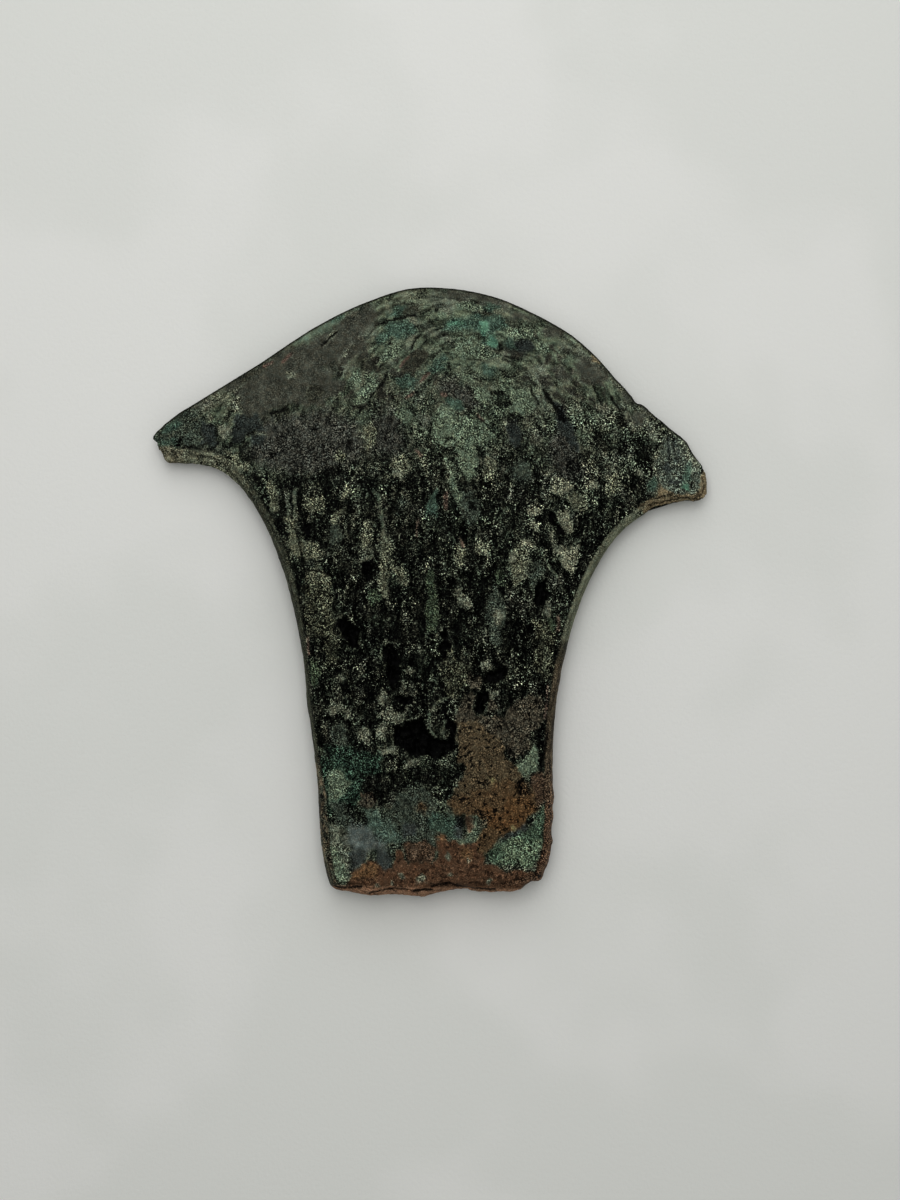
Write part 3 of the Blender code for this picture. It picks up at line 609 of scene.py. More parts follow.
# Pale raised ridges and scratches: half width and points; the last is a painted glint
RIDGES = (
    (0.35, (-28, 19.4), (-27.9, 14.6)), (0.35, (-26.7, 20), (-26.4, 14.6)),
    (0.40, (-11.2, 19.6), (-9.9, 18.4), (-9.5, 15), (-9.2, 11)),
    (0.14, (-13.8, 6.6), (-12.6, 7.4), (-10.2, 8.7)), (0.35, (-13.6, 5.6), (-11.4, 7)),
    (0.20, (14, 11.4), (14.1, 15), (15, 16.3), (15.8, 15.6)),
    (0.18, (20.4, 8.6), (22.6, 7), (23.6, 4.4), (25.4, 2.6), (26.2, 0)),
    (0.14, (25.6, 7.8), (28.6, 9), (30.2, 10.6)), (0.16, (28, 8.2), (29.4, 7)),
    (0.16, (4, 11.6), (5.4, 8.6), (6.4, 5.6)), (0.14, (1.8, 9.8), (2.6, 6.6)),
    (0.18, (16.8, 23.6), (17.6, 23.8), (18.3, 24.6)), (0.14, (-22.2, -31), (-20.6, -31.9)),
    (0.30, (3.2, -21.2), (1, -22.4), (-0.2, -24.6), (0, -27), (1.2, -28.6)),
    (0.30, (2.4, -28), (3.1, -25.6)), (0.16, (-9.6, -13.4), (-9.5, -10.8), (-8.2, -10.1), (-6, -10.4)),
    (0.14, (-14.6, -17.8), (-13.4, -16.8), (-11.8, -16.8)), (0.12, (-16.8, -13), (-14.6, -12.9)),
    (0.14, (-2, -6.6), (-0.6, -9.2), (1, -10)), (0.16, (0.4, -15.6), (0.6, -17.6), (1.4, -18.4)),
    (0.16, (-13.8, 34.8), (-12.4, 36.6), (-10.2, 39.8)), (0.14, (6, 47.6), (7.2, 48.2), (9.4, 47.5)),
    (0.20, (-21.2, 48.4), (-18.6, 51.2)), (0.22, (-17.8, 45.8), (-15.4, 49.2)),
    (0.22, (-14.2, 50.4), (-11.2, 52.3)), (0.16, (-24.8, 38.6), (-23.8, 40.6)),
    (0.16, (0.8, 40.7), (3.6, 40.2)), (0.20, (28.4, 44.4), (28.8, 42.4)), (0.18, (31.8, 44), (33, 44.2)),
    (0.14, (30.2, 37), (31.6, 34.6)), (0.14, (-27.4, 6.4), (-24, 6.9)), (0.14, (-24, 5.2), (-21, 4.4)),
    (0.30, (29.6, 31.6), (29.8, 27.6)), (0.14, (46.8, 31.2), (47.6, 26.6)), (0.16, (24.8, 14), (27, 12)),
    (0.25, (-42.4, 35), (-41, 36.6)), (0.20, (-47, 35.4), (-44.6, 37)),
    (0.16, (-12.8, -40.6), (-11.6, -43)), (0.14, (1.6, -33), (2.6, -35.4)),
    # Painted glint on the copper rim of the right horn
    (0.20, (50.1, 18.4), (50.9, 18.1)),
)

# Dark cracks and grooves: half width and points
CRACKS = (
    (0.16, (-27.25, 20), (-27.15, 14.2)), (0.25, (-25.5, 21), (-25.4, 14.4)),
    (0.22, (-8.4, 43.2), (-9.8, 40.6), (-11.6, 38.4)), (0.22, (-13.8, 35.4), (-12, 37.4)),
    (0.22, (-3.7, 47.8), (-2.8, 50), (-1.6, 51)), (0.16, (0.8, 46), (2.6, 48.2)),
    (0.20, (3.8, 45), (4, 43.4)), (0.16, (0.4, 29.8), (0.3, 32.6), (1, 34)),
    (0.18, (7, 36.4), (9.8, 34), (12.4, 31.4), (15, 29.2), (16.6, 26.6)),
    (0.18, (20, 40), (20.6, 38.4), (21.6, 36.8)), (0.30, (22.6, 39.8), (24.8, 36.2), (26.8, 33.6)),
    (0.16, (29.8, 37.4), (31.2, 34.4)), (0.18, (32.6, 40), (34.4, 37)),
    (0.20, (36.2, 38.6), (38.2, 35.2)), (0.14, (47.2, 30.6), (47.8, 26.4)),
    (0.14, (48.4, 30), (49.2, 26)),
    (0.16, (4.8, 26.4), (5.6, 24), (7, 21.8)), (0.18, (14.8, 46.5), (18, 45.9)),
    (0.22, (-10, 53), (-6.6, 54.2), (-2.8, 54.6)),
    (0.16, (-26, 6.6), (-23.6, 6.2)), (0.20, (-25.4, 4), (-22, 3.9), (-19.4, 2.8)),
    (0.16, (-10.8, 8.2), (-11.8, 9.6)), (0.25, (-31.6, 35), (-28.6, 36.2)),
    (0.2, (-7.8, 38.8), (-6.2, 36.8)),
    (0.18, (-2.6, -9.6), (-1.4, -8), (-1.2, -5)), (0.16, (-1.2, 3), (-1, -4)),
    (0.18, (-18.6, 51.6), (-21.6, 48.6)), (0.22, (-16.6, -41), (-14.4, -41.2)),
    (0.25, (-20.2, -58.4), (-17, -58.9), (-13.6, -58.5)), (0.3, (-3.2, -59.3), (0.2, -59)),
    (0.2, (0.2, -58.4), (3.6, -57.7), (8.4, -58.9), (13, -59)), (0.14, (-11.8, -59.8), (-9, -59)),
    (0.16, (-9, -58.8), (-4, -58.9)), (0.25, (20.8, -55.6), (22, -56.6)),
    (0.12, (42, 16.5), (45, 17.3), (48, 17.9), (50, 18.3), (52, 18.1), (54, 18.9)),
    (0.10, (44.2, 18.1), (47, 18.7), (49.4, 18.6)), (0.1, (54.2, 22.6), (54.7, 20.6), (54, 19.2)),
    (0.2, (-26.4, 12), (-24.8, 5), (-24.6, 0)), (0.2, (23.4, -28), (22.4, -34), (21.8, -36)),
    (0.16, (13, -24), (15.4, -27)), (0.16, (-15.4, 36.6), (-13.4, 36.2)),
)

# Reddish flecks: half width and points
FLECKS = (
    (0.28, (-5.8, 44.4), (-4.2, 46.2)), (0.30, (-1.8, 41.3), (-0.2, 43)),
    (0.25, (-4.6, 37.9), (-3.3, 39)), (0.45, (3.1, 19), (3.3, 16)),
    (0.25, (-2.3, 14), (-2.6, 10.6)), (0.4, (2.4, 38.8), (3.2, 38.4)),
    (0.25, (9.6, 34.6), (10.4, 33.6)), (0.35, (-2.6, 27.4), (-1.8, 26.6)),
    (0.25, (5.8, 10.4), (6.6, 8.6)), (0.25, (23.2, -18.6), (22.9, -25)),
    (0.3, (-24, -9.6), (-23.8, -12.6)), (0.3, (25.4, -5), (25.2, -8)),
    (0.3, (-22, -33.4), (-21.6, -37)), (0.3, (-29.4, 45.6), (-27.6, 47)),
    (0.3, (-33, 44.6), (-31.6, 45.4)),
)


def smooth_step(values, low, high):
    """0 below low and 1 above high, with a smooth rise between them."""
    share = np.clip((values - low) / (high - low), 0, 1)
    return share * share * (3 - 2 * share)


def noise_at(points, layer, octaves=1, gain=0.5):
    """Smooth noise between about -1 and 1 at rows of one to three coordinates."""
    heights = np.zeros(len(points))
    spots = np.zeros((len(points), 3))
    spots[:, : points.shape[1]] = points
    spots[:, 2] += layer
    for octave in range(octaves):
        scaled = spots * 2.0**octave
        heights += gain**octave * np.array([noise.noise(Vector(spot)) for spot in scaled])
    return heights


def distance_to(spots, start, end):
    """Distance from rows of points to a straight line between two points."""
    span = end - start
    offset = spots - start
    share = np.clip(offset @ span / max(span @ span, 1e-9), 0, 1)
    return np.hypot(*(offset - share[:, None] * span).T)


def depth_in(points, outline):
    """How deep rows of points lie inside a closed outline, negative outside, within REACH."""
    corners = np.array(outline, float)
    low, high = corners.min(0) - REACH, corners.max(0) + REACH
    near = np.flatnonzero(np.all((points > low) & (points < high), axis=1))
    spots = points[near]
    distance = np.full(len(near), REACH)
    inside = np.zeros(len(near), bool)
    for start, end in zip(corners, np.roll(corners, -1, 0)):
        distance = np.minimum(distance, distance_to(spots, start, end))
        if start[1] != end[1]:
            passes = (start[1] > spots[:, 1]) != (end[1] > spots[:, 1])
            share = (spots[:, 1] - start[1]) / (end[1] - start[1])
            inside ^= passes & (spots[:, 0] < start[0] + share * (end[0] - start[0]))
    depth = np.full(len(points), -REACH)
    depth[near] = np.where(inside, distance, -distance)
    return depth


def deepest(points, outlines):
    """How deep rows of points lie inside the nearest of some closed outlines."""
    return np.max([depth_in(points, outline) for outline in outlines], axis=0)


def on_lines(points, lines, soft):
    """1 on the nearest of some lines and 0 beside them; a line starts with its half width."""
    depth = np.full(len(points), -REACH)
    for half_width, *route in lines:
        corners = np.array(route, float)
        low, high = corners.min(0) - 1, corners.max(0) + 1
        near = np.flatnonzero(np.all((points > low) & (points < high), axis=1))
        for start, end in zip(corners[:-1], corners[1:]):
            reach = half_width - distance_to(points[near], start, end)
            depth[near] = np.maximum(depth[near], reach)
    return smooth_step(depth, -soft, soft)


def deselect():
    bpy.ops.object.select_all(action="DESELECT")


def apply_all(piece):
    """Applies the modifiers of a piece in turn, as by hand."""
    deselect()
    piece.select_set(True)
    bpy.context.view_layer.objects.active = piece
    for modifier in list(piece.modifiers):
        bpy.ops.object.modifier_apply(modifier=modifier.name)


def edge_line(piece):
    """The silhouette in plan, which is kept sharp, as an ordered closed line of points."""
    shape = bmesh.from_edit_mesh(piece.data)
    shape.normal_update()
    rim = [e for e in shape.edges if len(e.link_faces) == 2
           and e.link_faces[0].normal.z * e.link_faces[1].normal.z < 0]
    beside = {}
    for edge in rim:
        a, b = edge.verts
        beside.setdefault(a.index, []).append(b.index)
        beside.setdefault(b.index, []).append(a.index)
    shape.verts.ensure_lookup_table()
    start = min(beside, key=lambda i: shape.verts[i].co.y)
    line, last, here = [start], None, start
    while True:
        ahead = [i for i in beside[here] if i != last]
        last, here = here, ahead[0]
        if here == start:
            break
        line.append(here)
    points = np.array([shape.verts[i].co[:2] for i in line])
    bpy.ops.mesh.select_all(action="DESELECT")
    for edge in rim:
        edge.select_set(True)
    bmesh.update_edit_mesh(piece.data)
    bpy.ops.transform.edge_crease(value=SILHOUETTE_CREASE)
    step = np.roll(points, -1, 0) - points
    before = np.roll(step, 1, 0)
    turn = np.abs(np.arctan2(before[:, 0] * step[:, 1] - before[:, 1] * step[:, 0],
                             (before * step).sum(1)))
    bpy.ops.mesh.select_all(action="DESELECT")
    bpy.ops.mesh.select_mode(type="VERT")
    shape = bmesh.from_edit_mesh(piece.data)
    shape.verts.ensure_lookup_table()
    for place in np.flatnonzero(turn > CORNER_TURN):
        shape.verts[line[place]].select_set(True)
    bmesh.update_edit_mesh(piece.data)
    bpy.ops.transform.vert_crease(value=1.0)
    return points


def fine_skin():
    """A copy of the solid, merged, rounded and covered with an even skin of small faces."""
    deselect()
    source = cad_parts["axe_head"]
    piece = bpy.data.objects.new("weathered_head", source.data.copy())
    bpy.context.scene.collection.objects.link(piece)
    piece.select_set(True)
    bpy.context.view_layer.objects.active = piece
    bpy.ops.object.mode_set(mode="EDIT")
    bpy.ops.mesh.select_all(action="SELECT")
    bpy.ops.mesh.remove_doubles(threshold=1e-6)
    bpy.ops.mesh.tris_convert_to_quads()
    outline = edge_line(piece)
    bpy.ops.object.mode_set(mode="OBJECT")
    rounding = piece.modifiers.new("rounding", "SUBSURF")
    rounding.levels = rounding.render_levels = 2
    skin = piece.modifiers.new("skin", "REMESH")
    skin.mode = "VOXEL"
    skin.voxel_size = SKIN_STEP
    skin.use_smooth_shade = True
    apply_all(piece)
    return piece, outline


def thin_underside(piece):
    """Fewer and larger faces beneath, where the finish is plainer."""
    group = piece.vertex_groups.new(name="beneath")
    normals = vectors(piece.data.vertices, "normal")
    beneath = np.flatnonzero(normals[:, 2] < BENEATH)
    group.add([int(i) for i in beneath], 1.0, "REPLACE")
    count = 2 * len(piece.data.polygons)
    thinning = piece.modifiers.new("thinning", "DECIMATE")
    thinning.ratio = TRIANGLE_LIMIT / count
    thinning.vertex_group = group.name
    apply_all(piece)
    piece.vertex_groups.clear()


def vectors(items, name):
    """Places or normals of all points, as rows."""
    values = np.empty(3 * len(items))
    items.foreach_get(name, values)
    return values.reshape(-1, 3)


def stroke_angle(plan):
    """Direction of the strokes at each point, from the nearest of the directions that are read."""
    known = np.array(STROKES, float)
    away = ((plan[:, None, :] - known[None, :, :2]) ** 2).sum(2)
    share = 1 / (away + STROKE_BLEND**2) ** 2
    twice = 2 * np.radians(known[:, 2])
    return 0.5 * np.arctan2(share @ np.sin(twice), share @ np.cos(twice))


def drawn_out(plan, angle, width, length, layer, octaves, gain):
    """Noise drawn out along the strokes: shares of layers that are each drawn out one way."""
    heights = np.zeros(len(plan))
    weight = np.zeros(len(plan))
    for step in range(STROKE_WAYS):
        way = math.pi * step / STROKE_WAYS
        share = np.maximum(np.cos(2 * (angle - way)), 0) ** STROKE_WAYS
        use = np.flatnonzero(share > LEAST_SHARE)
        along = plan[use] @ (math.cos(way), math.sin(way))
        across = plan[use] @ (-math.sin(way), math.cos(way))
        spots = np.column_stack([across / width, along / length])
        heights[use] += share[use] * noise_at(spots, layer + WAY_STEP * step, octaves, gain)
        weight += share**2
    return heights / np.sqrt(weight)


def nearest_on(line, points):
    """Distance to a line of points and how far along it the nearest place is."""
    steps = np.linalg.norm(np.diff(line, axis=0), axis=1)
    travelled = np.concatenate([[0], np.cumsum(steps)])
    fine = np.arange(0, travelled[-1], LINE_STEP)
    x = np.interp(fine, travelled, line[:, 0])
    y = np.interp(fine, travelled, line[:, 1])
    tree = kdtree.KDTree(len(fine))
    for place, spot in enumerate(zip(x, y)):
        tree.insert((*spot, 0), place)
    tree.balance()
    found = [tree.find((*point, 0)) for point in points]
    distance = np.array([hit[2] for hit in found])
    return distance, fine[np.array([hit[1] for hit in found])]


def store(mesh, name, values):
    """Writes values per point as an attribute that the material reads."""
    kind = "FLOAT" if values.ndim == 1 else "FLOAT_VECTOR"
    attribute = mesh.attributes.new(name, kind, "POINT")
    field = "value" if values.ndim == 1 else "vector"
    attribute.data.foreach_set(field, np.ascontiguousarray(values, np.float32).ravel())


def break_shift(plan, to_rim, round_rim):
    """How far each point moves so that the silhouette takes the shape of its breaks."""
    # The skin ends a little inside the rim, by a gap that changes along it
    place = (round_rim / RIM_STEP).astype(int)
    gap = np.full(place.max() + 1, REACH)
    np.minimum.at(gap, place, to_rim)
    gap = np.convolve(np.concatenate([gap[-2:], gap, gap[:2]]), np.full(5, 0.2), "valid")
    depth = to_rim - gap[place]
    felt = 1 - smooth_step(depth, *BREAK_FADE)
    moved = np.zeros_like(plan)
    for route in BREAKS:
        corners = np.array(route, float)
        nearest = np.full(len(plan), np.inf)
        shift = np.zeros_like(plan)
        travelled = np.zeros(len(plan))
        gone = 0.0
        for start, end in zip(corners[:-1], corners[1:]):
            length = np.linalg.norm(end - start)
            along = (end - start) / length
            outward = np.array((along[1], -along[0]))
            away = distance_to(plan, start, end)
            closer = away < nearest
            nearest[closer] = away[closer]
            travelled[closer] = (gone + np.clip((plan - start) @ along, 0, length))[closer]
            gone += length
            inside = -((plan - start) @ outward)
            signed = np.where(inside > 0, away, -away)
            shift[closer] = (outward * (signed - depth)[:, None])[closer]
        ends = np.minimum(travelled, gone - travelled)
        share = felt * smooth_step(ends, *BREAK_ENDS)
        share = share * (nearest < BREAK_FADE[1])
        moved += np.clip(shift, -LARGEST_SHIFT, LARGEST_SHIFT) * share[:, None]
    outward = plan - FAN_CENTRE
    outward = outward / np.linalg.norm(outward, axis=1)[:, None]
    lean = np.interp(plan[:, 0], EDGE_ALONG, EDGE_SHIFT) * (plan[:, 1] > EDGE_FROM)
    return moved + outward * (lean * felt)[:, None]


def wandered(points):
    """Places pushed about a little, so that outlines read at them turn ragged."""
    moved = points.copy()
    for layer, (amount, length) in enumerate(WANDER):
        for axis in (0, 1):
            push = noise_at(points / length, WANDER_LAYER + 2 * layer + axis)
            moved[:, axis] += 2 * amount * push
    return moved


class Finish:
    """Hue, brightness as seen, grain and metal at each point of the skin."""

    def __init__(self, hue, tone, grain):
        self.hue = hue
        self.tone = tone
        self.grain = grain
        self.metal = np.zeros(len(tone))

    def lay(self, mask, hue=None, tone=None, grain=None, metal=None):
        """Lays a finish over what is there by a mask."""
        if hue is not None:
            self.hue = self.hue + (np.array(hue) - self.hue) * mask[:, None]
        if tone is not None:
            self.tone = self.tone + (tone - self.tone) * mask
        if grain is not None:
            self.grain = self.grain + (grain - self.grain) * mask
        if metal is not None:
            self.metal = self.metal + (metal - self.metal) * mask


def band(values, middle, width):
    """1 in the middle of a band and 0 beside it."""
    return np.exp(-(((values - middle) / width) ** 2))


def clouds(places, name):
    """Noise of one row of CLOUDS at rows of places in millimetres."""
    size, layer, octaves = CLOUDS[name]
    return noise_at(places / size, layer, octaves)


def cutting_edge(outline):
    """The part of the outline beyond the tips of the horns, from left to right."""
    tips = np.array([TIP_LEFT, TIP_RIGHT])
    slope = (tips[1, 1] - tips[0, 1]) / (tips[1, 0] - tips[0, 0])
    beyond = outline[:, 1] > tips[0, 1] + slope * (outline[:, 0] - tips[0, 0]) - TIP_MARGIN
    edge = outline[beyond]
    return edge[np.argsort(edge[:, 0])]


class Skin:
    """Place, slope and zone of each point, in millimetres; the steps of weather() add masks."""

    def __init__(self, piece, outline):
        self.places = vectors(piece.data.vertices, "co")
        self.normals = vectors(piece.data.vertices, "normal")
        self.height = self.places[:, 2] / MM
        from_rim = nearest_on(np.vstack([outline, outline[:1]]), self.places[:, :2])
        self.to_rim, self.round_rim = (values / MM for values in from_rim)
        self.to_edge = nearest_on(cutting_edge(outline), self.places[:, :2])[0] / MM
        shift = break_shift(self.places[:, :2] / MM, self.to_rim, self.round_rim)
        self.places[:, :2] += shift * MM
        self.plan = self.places[:, :2] / MM
        self.x, self.y = self.plan.T
        self.angle = stroke_angle(self.plan)
        self.ragged = wandered(self.plan)
        self.twisted = self.plan + TWIST * (self.ragged - self.plan)
        self.up = smooth_step(self.normals[:, 2], *FACING)
        self.under = smooth_step(-self.normals[:, 2], *FACING)
        self.side = 1 - smooth_step(np.abs(self.normals[:, 2]), *STEEP)
        rough_flank = smooth_step(self.x, 18, 28) * (1 - smooth_step(self.y, 32, 40))
        self.blade = (1 - smooth_step(self.to_edge, *BLADE_REACH)) * (1 - 0.8 * rough_flank)
        self.body = 1 - self.blade

    def drawn(self, places, name):
        """Noise of one row of MARKS, drawn out along the strokes."""
        return drawn_out(places, self.angle, *MARKS[name])


def find_grain(skin):
    """Ridges and furrows along the grain of the body, soft scales and painted highlights on the blade.
    """
    furrow = skin.drawn(skin.twisted, "furrow")
    hollow = skin.drawn(skin.twisted, "hollow")
    skin.blotch = clouds(skin.plan, "blotch")
    skin.crumb = clouds(skin.plan, "crumb")
    skin.cloud = clouds(skin.plan, "cloud")
    skin.mottle = clouds(skin.plan, "mottle")
    skin.streak = skin.drawn(skin.plan, "streak")
    raised = 0.95 * furrow + 0.5 * hollow + 0.20 * skin.blotch + 0.42 * skin.crumb
    skin.ridge = smooth_step(raised, -0.38, 0.48)
    skin.gritty = smooth_step(clouds(skin.twisted, "grit"), -0.30, 0.20)
    skin.stroke = smooth_step(skin.drawn(skin.ragged, "scale"), -0.25, 0.20)
    skin.groove = smooth_step(skin.drawn(skin.plan, "groove"), 0.30, 0.55)
    # Pale streaks along the strokes, painted as highlights
    skin.gleam = smooth_step(skin.drawn(skin.plan, "gleam"), 0.30, 0.60)
    stretches = smooth_step(clouds(skin.plan, "vein stretch"), 0.0, 0.25)
    skin.vein = band(skin.drawn(skin.ragged, "vein"), 0, 0.11) * stretches * skin.body * skin.up


def lay_crust(skin):
    """Brightness, grain and hue of the crust; brown gaps between the blade's flakes; painted highlights.
    """
    x, y, body, blade = skin.x, skin.y, skin.body, skin.blade
    skin.base = np.interp(y, TONE_ALONG, TONE_SHARE)
    lift = skin.ridge - 0.5
    on_body = skin.base + RIDGE_CONTRAST * lift * (0.6 + 0.5 * skin.gritty) - 0.022
    # The blade's scales and grooves, and painted highlights along its strokes
    on_blade = (skin.base + SCALE_CONTRAST * (skin.stroke - 0.58)
                - GROOVE_CONTRAST * skin.groove + PAINTED_GLEAM_CONTRAST * skin.gleam)
    on_blade = on_blade + 0.05 * lift + 0.05 * skin.mottle + 0.015 * smooth_step(x, 0, 20)
    tone = on_body * body + on_blade * blade
    quiet_butt = 0.5 * smooth_step(-y, 40, 46)
    quiet_neck = 0.5 * smooth_step(y, 18, 30) * (1 - smooth_step(x, 18, 26))
    grain = 0.165 + body * (0.27 + 0.40 * skin.gritty) * (1 - (quiet_butt + quiet_neck))
    grain = grain + 0.12 * smooth_step(x, 10, 18) * body + 0.12 * smooth_step(-x, 34, 40)
    finish = Finish(np.tile(KHAKI, (len(y), 1)), tone, grain)
    greenness = 0.7 * skin.cloud + 0.4 * skin.blotch + 0.35 * blade
    finish.lay(0.8 * smooth_step(greenness, -0.25, 0.55), hue=GREEN)
    finish.lay(0.6 * smooth_step(clouds(skin.plan, "film"), 0.0, 0.6), hue=FILM)
    finish.lay(0.55 * body * (1 - skin.ridge), hue=DEPTH)
    flake = smooth_step(skin.drawn(skin.twisted, "flake"), -0.28, -0.12)
    gaps = smooth_step(deepest(skin.ragged, FLAKED), -1.2, 1.2) * (1 - flake)
    finish.lay(0.85 * gaps, hue=GAP_BROWN, tone=0.165 + 0.03 * skin.mottle, grain=0.12)
    return finish


def lay_patches(skin, finish):
    """Lays the patches of the upper face over each other."""
    for kind, outlines in PATCHES:
        hue, patch_tone, hold, grain, soft = kind
        bare = METALS.get(kind, 0.0)
        edge_grit = (0.15 + 0.4 * soft) * skin.crumb + 0.4 * skin.streak + 0.06
        mask = smooth_step(deepest(skin.ragged, outlines) + edge_grit, -soft, soft) * skin.up
        uneven = METAL_MOTTLE if bare else CRUST_MOTTLE
        tone = patch_tone * (1 + uneven * skin.mottle) + (1 - hold) * (finish.tone - skin.base)
        finish.lay(mask, hue, tone, grain, bare)


def lay_marks(skin, finish):
    """Hollows with their rims, dark stretches, veins, ridges and flecks."""
    up = skin.up
    skin.in_jet = deepest(skin.ragged, JET) + 0.5 * skin.mottle
    skin.jet = smooth_step(skin.in_jet, -0.12, 0.15) * up
    broken = smooth_step(skin.blotch + skin.crumb, -0.6, 0.1)
    skin.jet_rim = band(skin.in_jet, -0.36, 0.18) * broken * up
    skin.shadow = smooth_step(deepest(skin.ragged, SHADE), -0.35, 0.35) * up
    near = skin.plan + LINE_TWIST * (skin.ragged - skin.plan)
    skin.scratch = on_lines(near, RIDGES, LINE_SOFTNESS) * up
    skin.crack = on_lines(near, CRACKS, LINE_SOFTNESS) * up
    fleck = on_lines(near, FLECKS, LINE_SOFTNESS) * up
    shadow_tone = 0.055 + 0.06 * (skin.ridge - 0.5)
    finish.lay(0.85 * skin.shadow, tone=shadow_tone, grain=0.42, metal=0.0)
    finish.lay(0.7 * skin.jet_rim, hue=KHAKI, tone=0.28, grain=0.3)
    finish.lay(skin.jet, tone=0.0, grain=0.16, metal=0.0)
    finish.lay(0.6 * skin.vein * (1 - skin.jet) * (1 - finish.metal), tone=0.30, grain=0.3)
    finish.lay(0.85 * skin.scratch, tone=0.36, grain=0.2)
    finish.lay(0.7 * fleck, hue=FLECK_RED, tone=0.32, grain=0.3)


def lay_sides(skin, finish):
    """Side strips, torn break of the butt, cracks, cutting edge and underside, with some painted light.
    """
    x, y = skin.x, skin.y
    round_and_in = np.column_stack([skin.round_rim, skin.to_rim])
    skin.lines = lines = clouds(round_and_in, "line")
    skin.bits = bits = clouds(round_and_in, "bit")
    skin.torn = clouds(np.column_stack([x, skin.height]), "torn")
    skin.at_butt = smooth_step(-y - 0.02 * x, 58.2, 58.9) * (1 - smooth_step(-x, 19, 20))
    horn = smooth_step(-x, 34, 42) * (y > 0)
    low = 1 - smooth_step(y, -36, -30)

    # Where the strips lie
    width = np.where(x > 0, STRIP_RIGHT, np.interp(y, STRIP_ALONG, STRIP_LEFT))
    width = width + (STRIP_HORN - width) * horn
    strip = (1 - smooth_step(skin.to_rim / width, 0.85, 1.05)) * smooth_step(skin.to_edge, 1.2, 3.0)
    strip = strip * (1 - smooth_step(x, 40, 44) * smooth_step(y, 10, 14))
    strip = strip * (1 - smooth_step(-x, 44, 47) * smooth_step(y, 28.3, 29.3))
    strip = strip * (1 - smooth_step(-y, 57.4, 58.2))

    # Their brightness and hue, brown on the right and rusty towards the butt, with painted light on the
    # right
    tone = 0.24 + (0.14 + 0.20 * horn) * lines + 0.08 * bits + 0.19 * horn
    # Painted light: the right strip is made lighter above y -10
    tone = tone + 0.10 * (bits + lines + 0.1) * low + 0.17 * (x > 0) * (y > -10)
    calm = smooth_step(x, 0, 10) * smooth_step(-y, 28, 42)
    tone = tone + (0.29 + 0.08 * (lines + bits) - tone) * calm
    warm = smooth_step(x, 0, 10) * (1 - smooth_step(y, -16, -8)) + 0.1 * horn
    warm = warm + 0.3 * smooth_step(-x, 48, 50.5) * (y > 0)
    warm = (warm + low * smooth_step(bits, -0.3, 0.3) * (x < 0))[:, None]
    rust = (smooth_step(x, 0, 10) * smooth_step(-y, 30, 46))[:, None]
    brown = np.array(SIDE_BROWN) * (1 - rust) + np.array(SIDE_RUST) * rust
    hue = np.array(SIDE_KHAKI) * (1 - warm) + brown * warm
    finish.lay(strip, hue=hue, tone=tone, grain=0.16 + 0.16 * horn + 0.2 * low, metal=0.0)

    # Dark line along their upper arris, wisps on them and a painted highlight on the lip of the left
    # horn
    arris = band(skin.to_rim, width, 0.3) * smooth_step(skin.to_edge, 1.5, 4.0)
    finish.lay(0.6 * arris * smooth_step(lines + bits, -0.5, 0.3), tone=0.06, grain=0.2)
    wisps = band(clouds(round_and_in, "wisp"), 0, 0.16)
    finish.lay(0.5 * strip * wisps * (0.3 + 0.7 * horn), tone=0.05)
    # Painted highlight: a pale line along the lip of the left horn
    painted_lip_highlight = band(skin.to_rim - width, -0.1, 0.18) * horn * (x > -52)
    finish.lay(0.7 * painted_lip_highlight, hue=KHAKI, tone=0.36, grain=0.2)

    # Torn butt, lighter partly by painted light, cracks, cutting edge and underside
    # The torn break is fresh copper, made lighter partly by painted light on its steep face
    torn_tone_with_painted_light = 0.42 + 0.05 * skin.torn
    finish.lay(skin.at_butt, hue=TORN_COPPER, tone=torn_tone_with_painted_light, grain=0.08, metal=0.4)
    finish.lay(0.9 * skin.crack, tone=0.04, grain=0.15, metal=0.0)
    at_edge = 1 - smooth_step(skin.to_edge, 0.3, 0.7)
    finish.lay(at_edge, hue=KHAKI, tone=0.10, grain=0.05, metal=0.0)
    under_tone = 0.20 + 0.07 * skin.cloud + 0.05 * skin.mottle
    finish.lay(skin.under, hue=KHAKI, tone=under_tone, grain=0.3, metal=0.0)


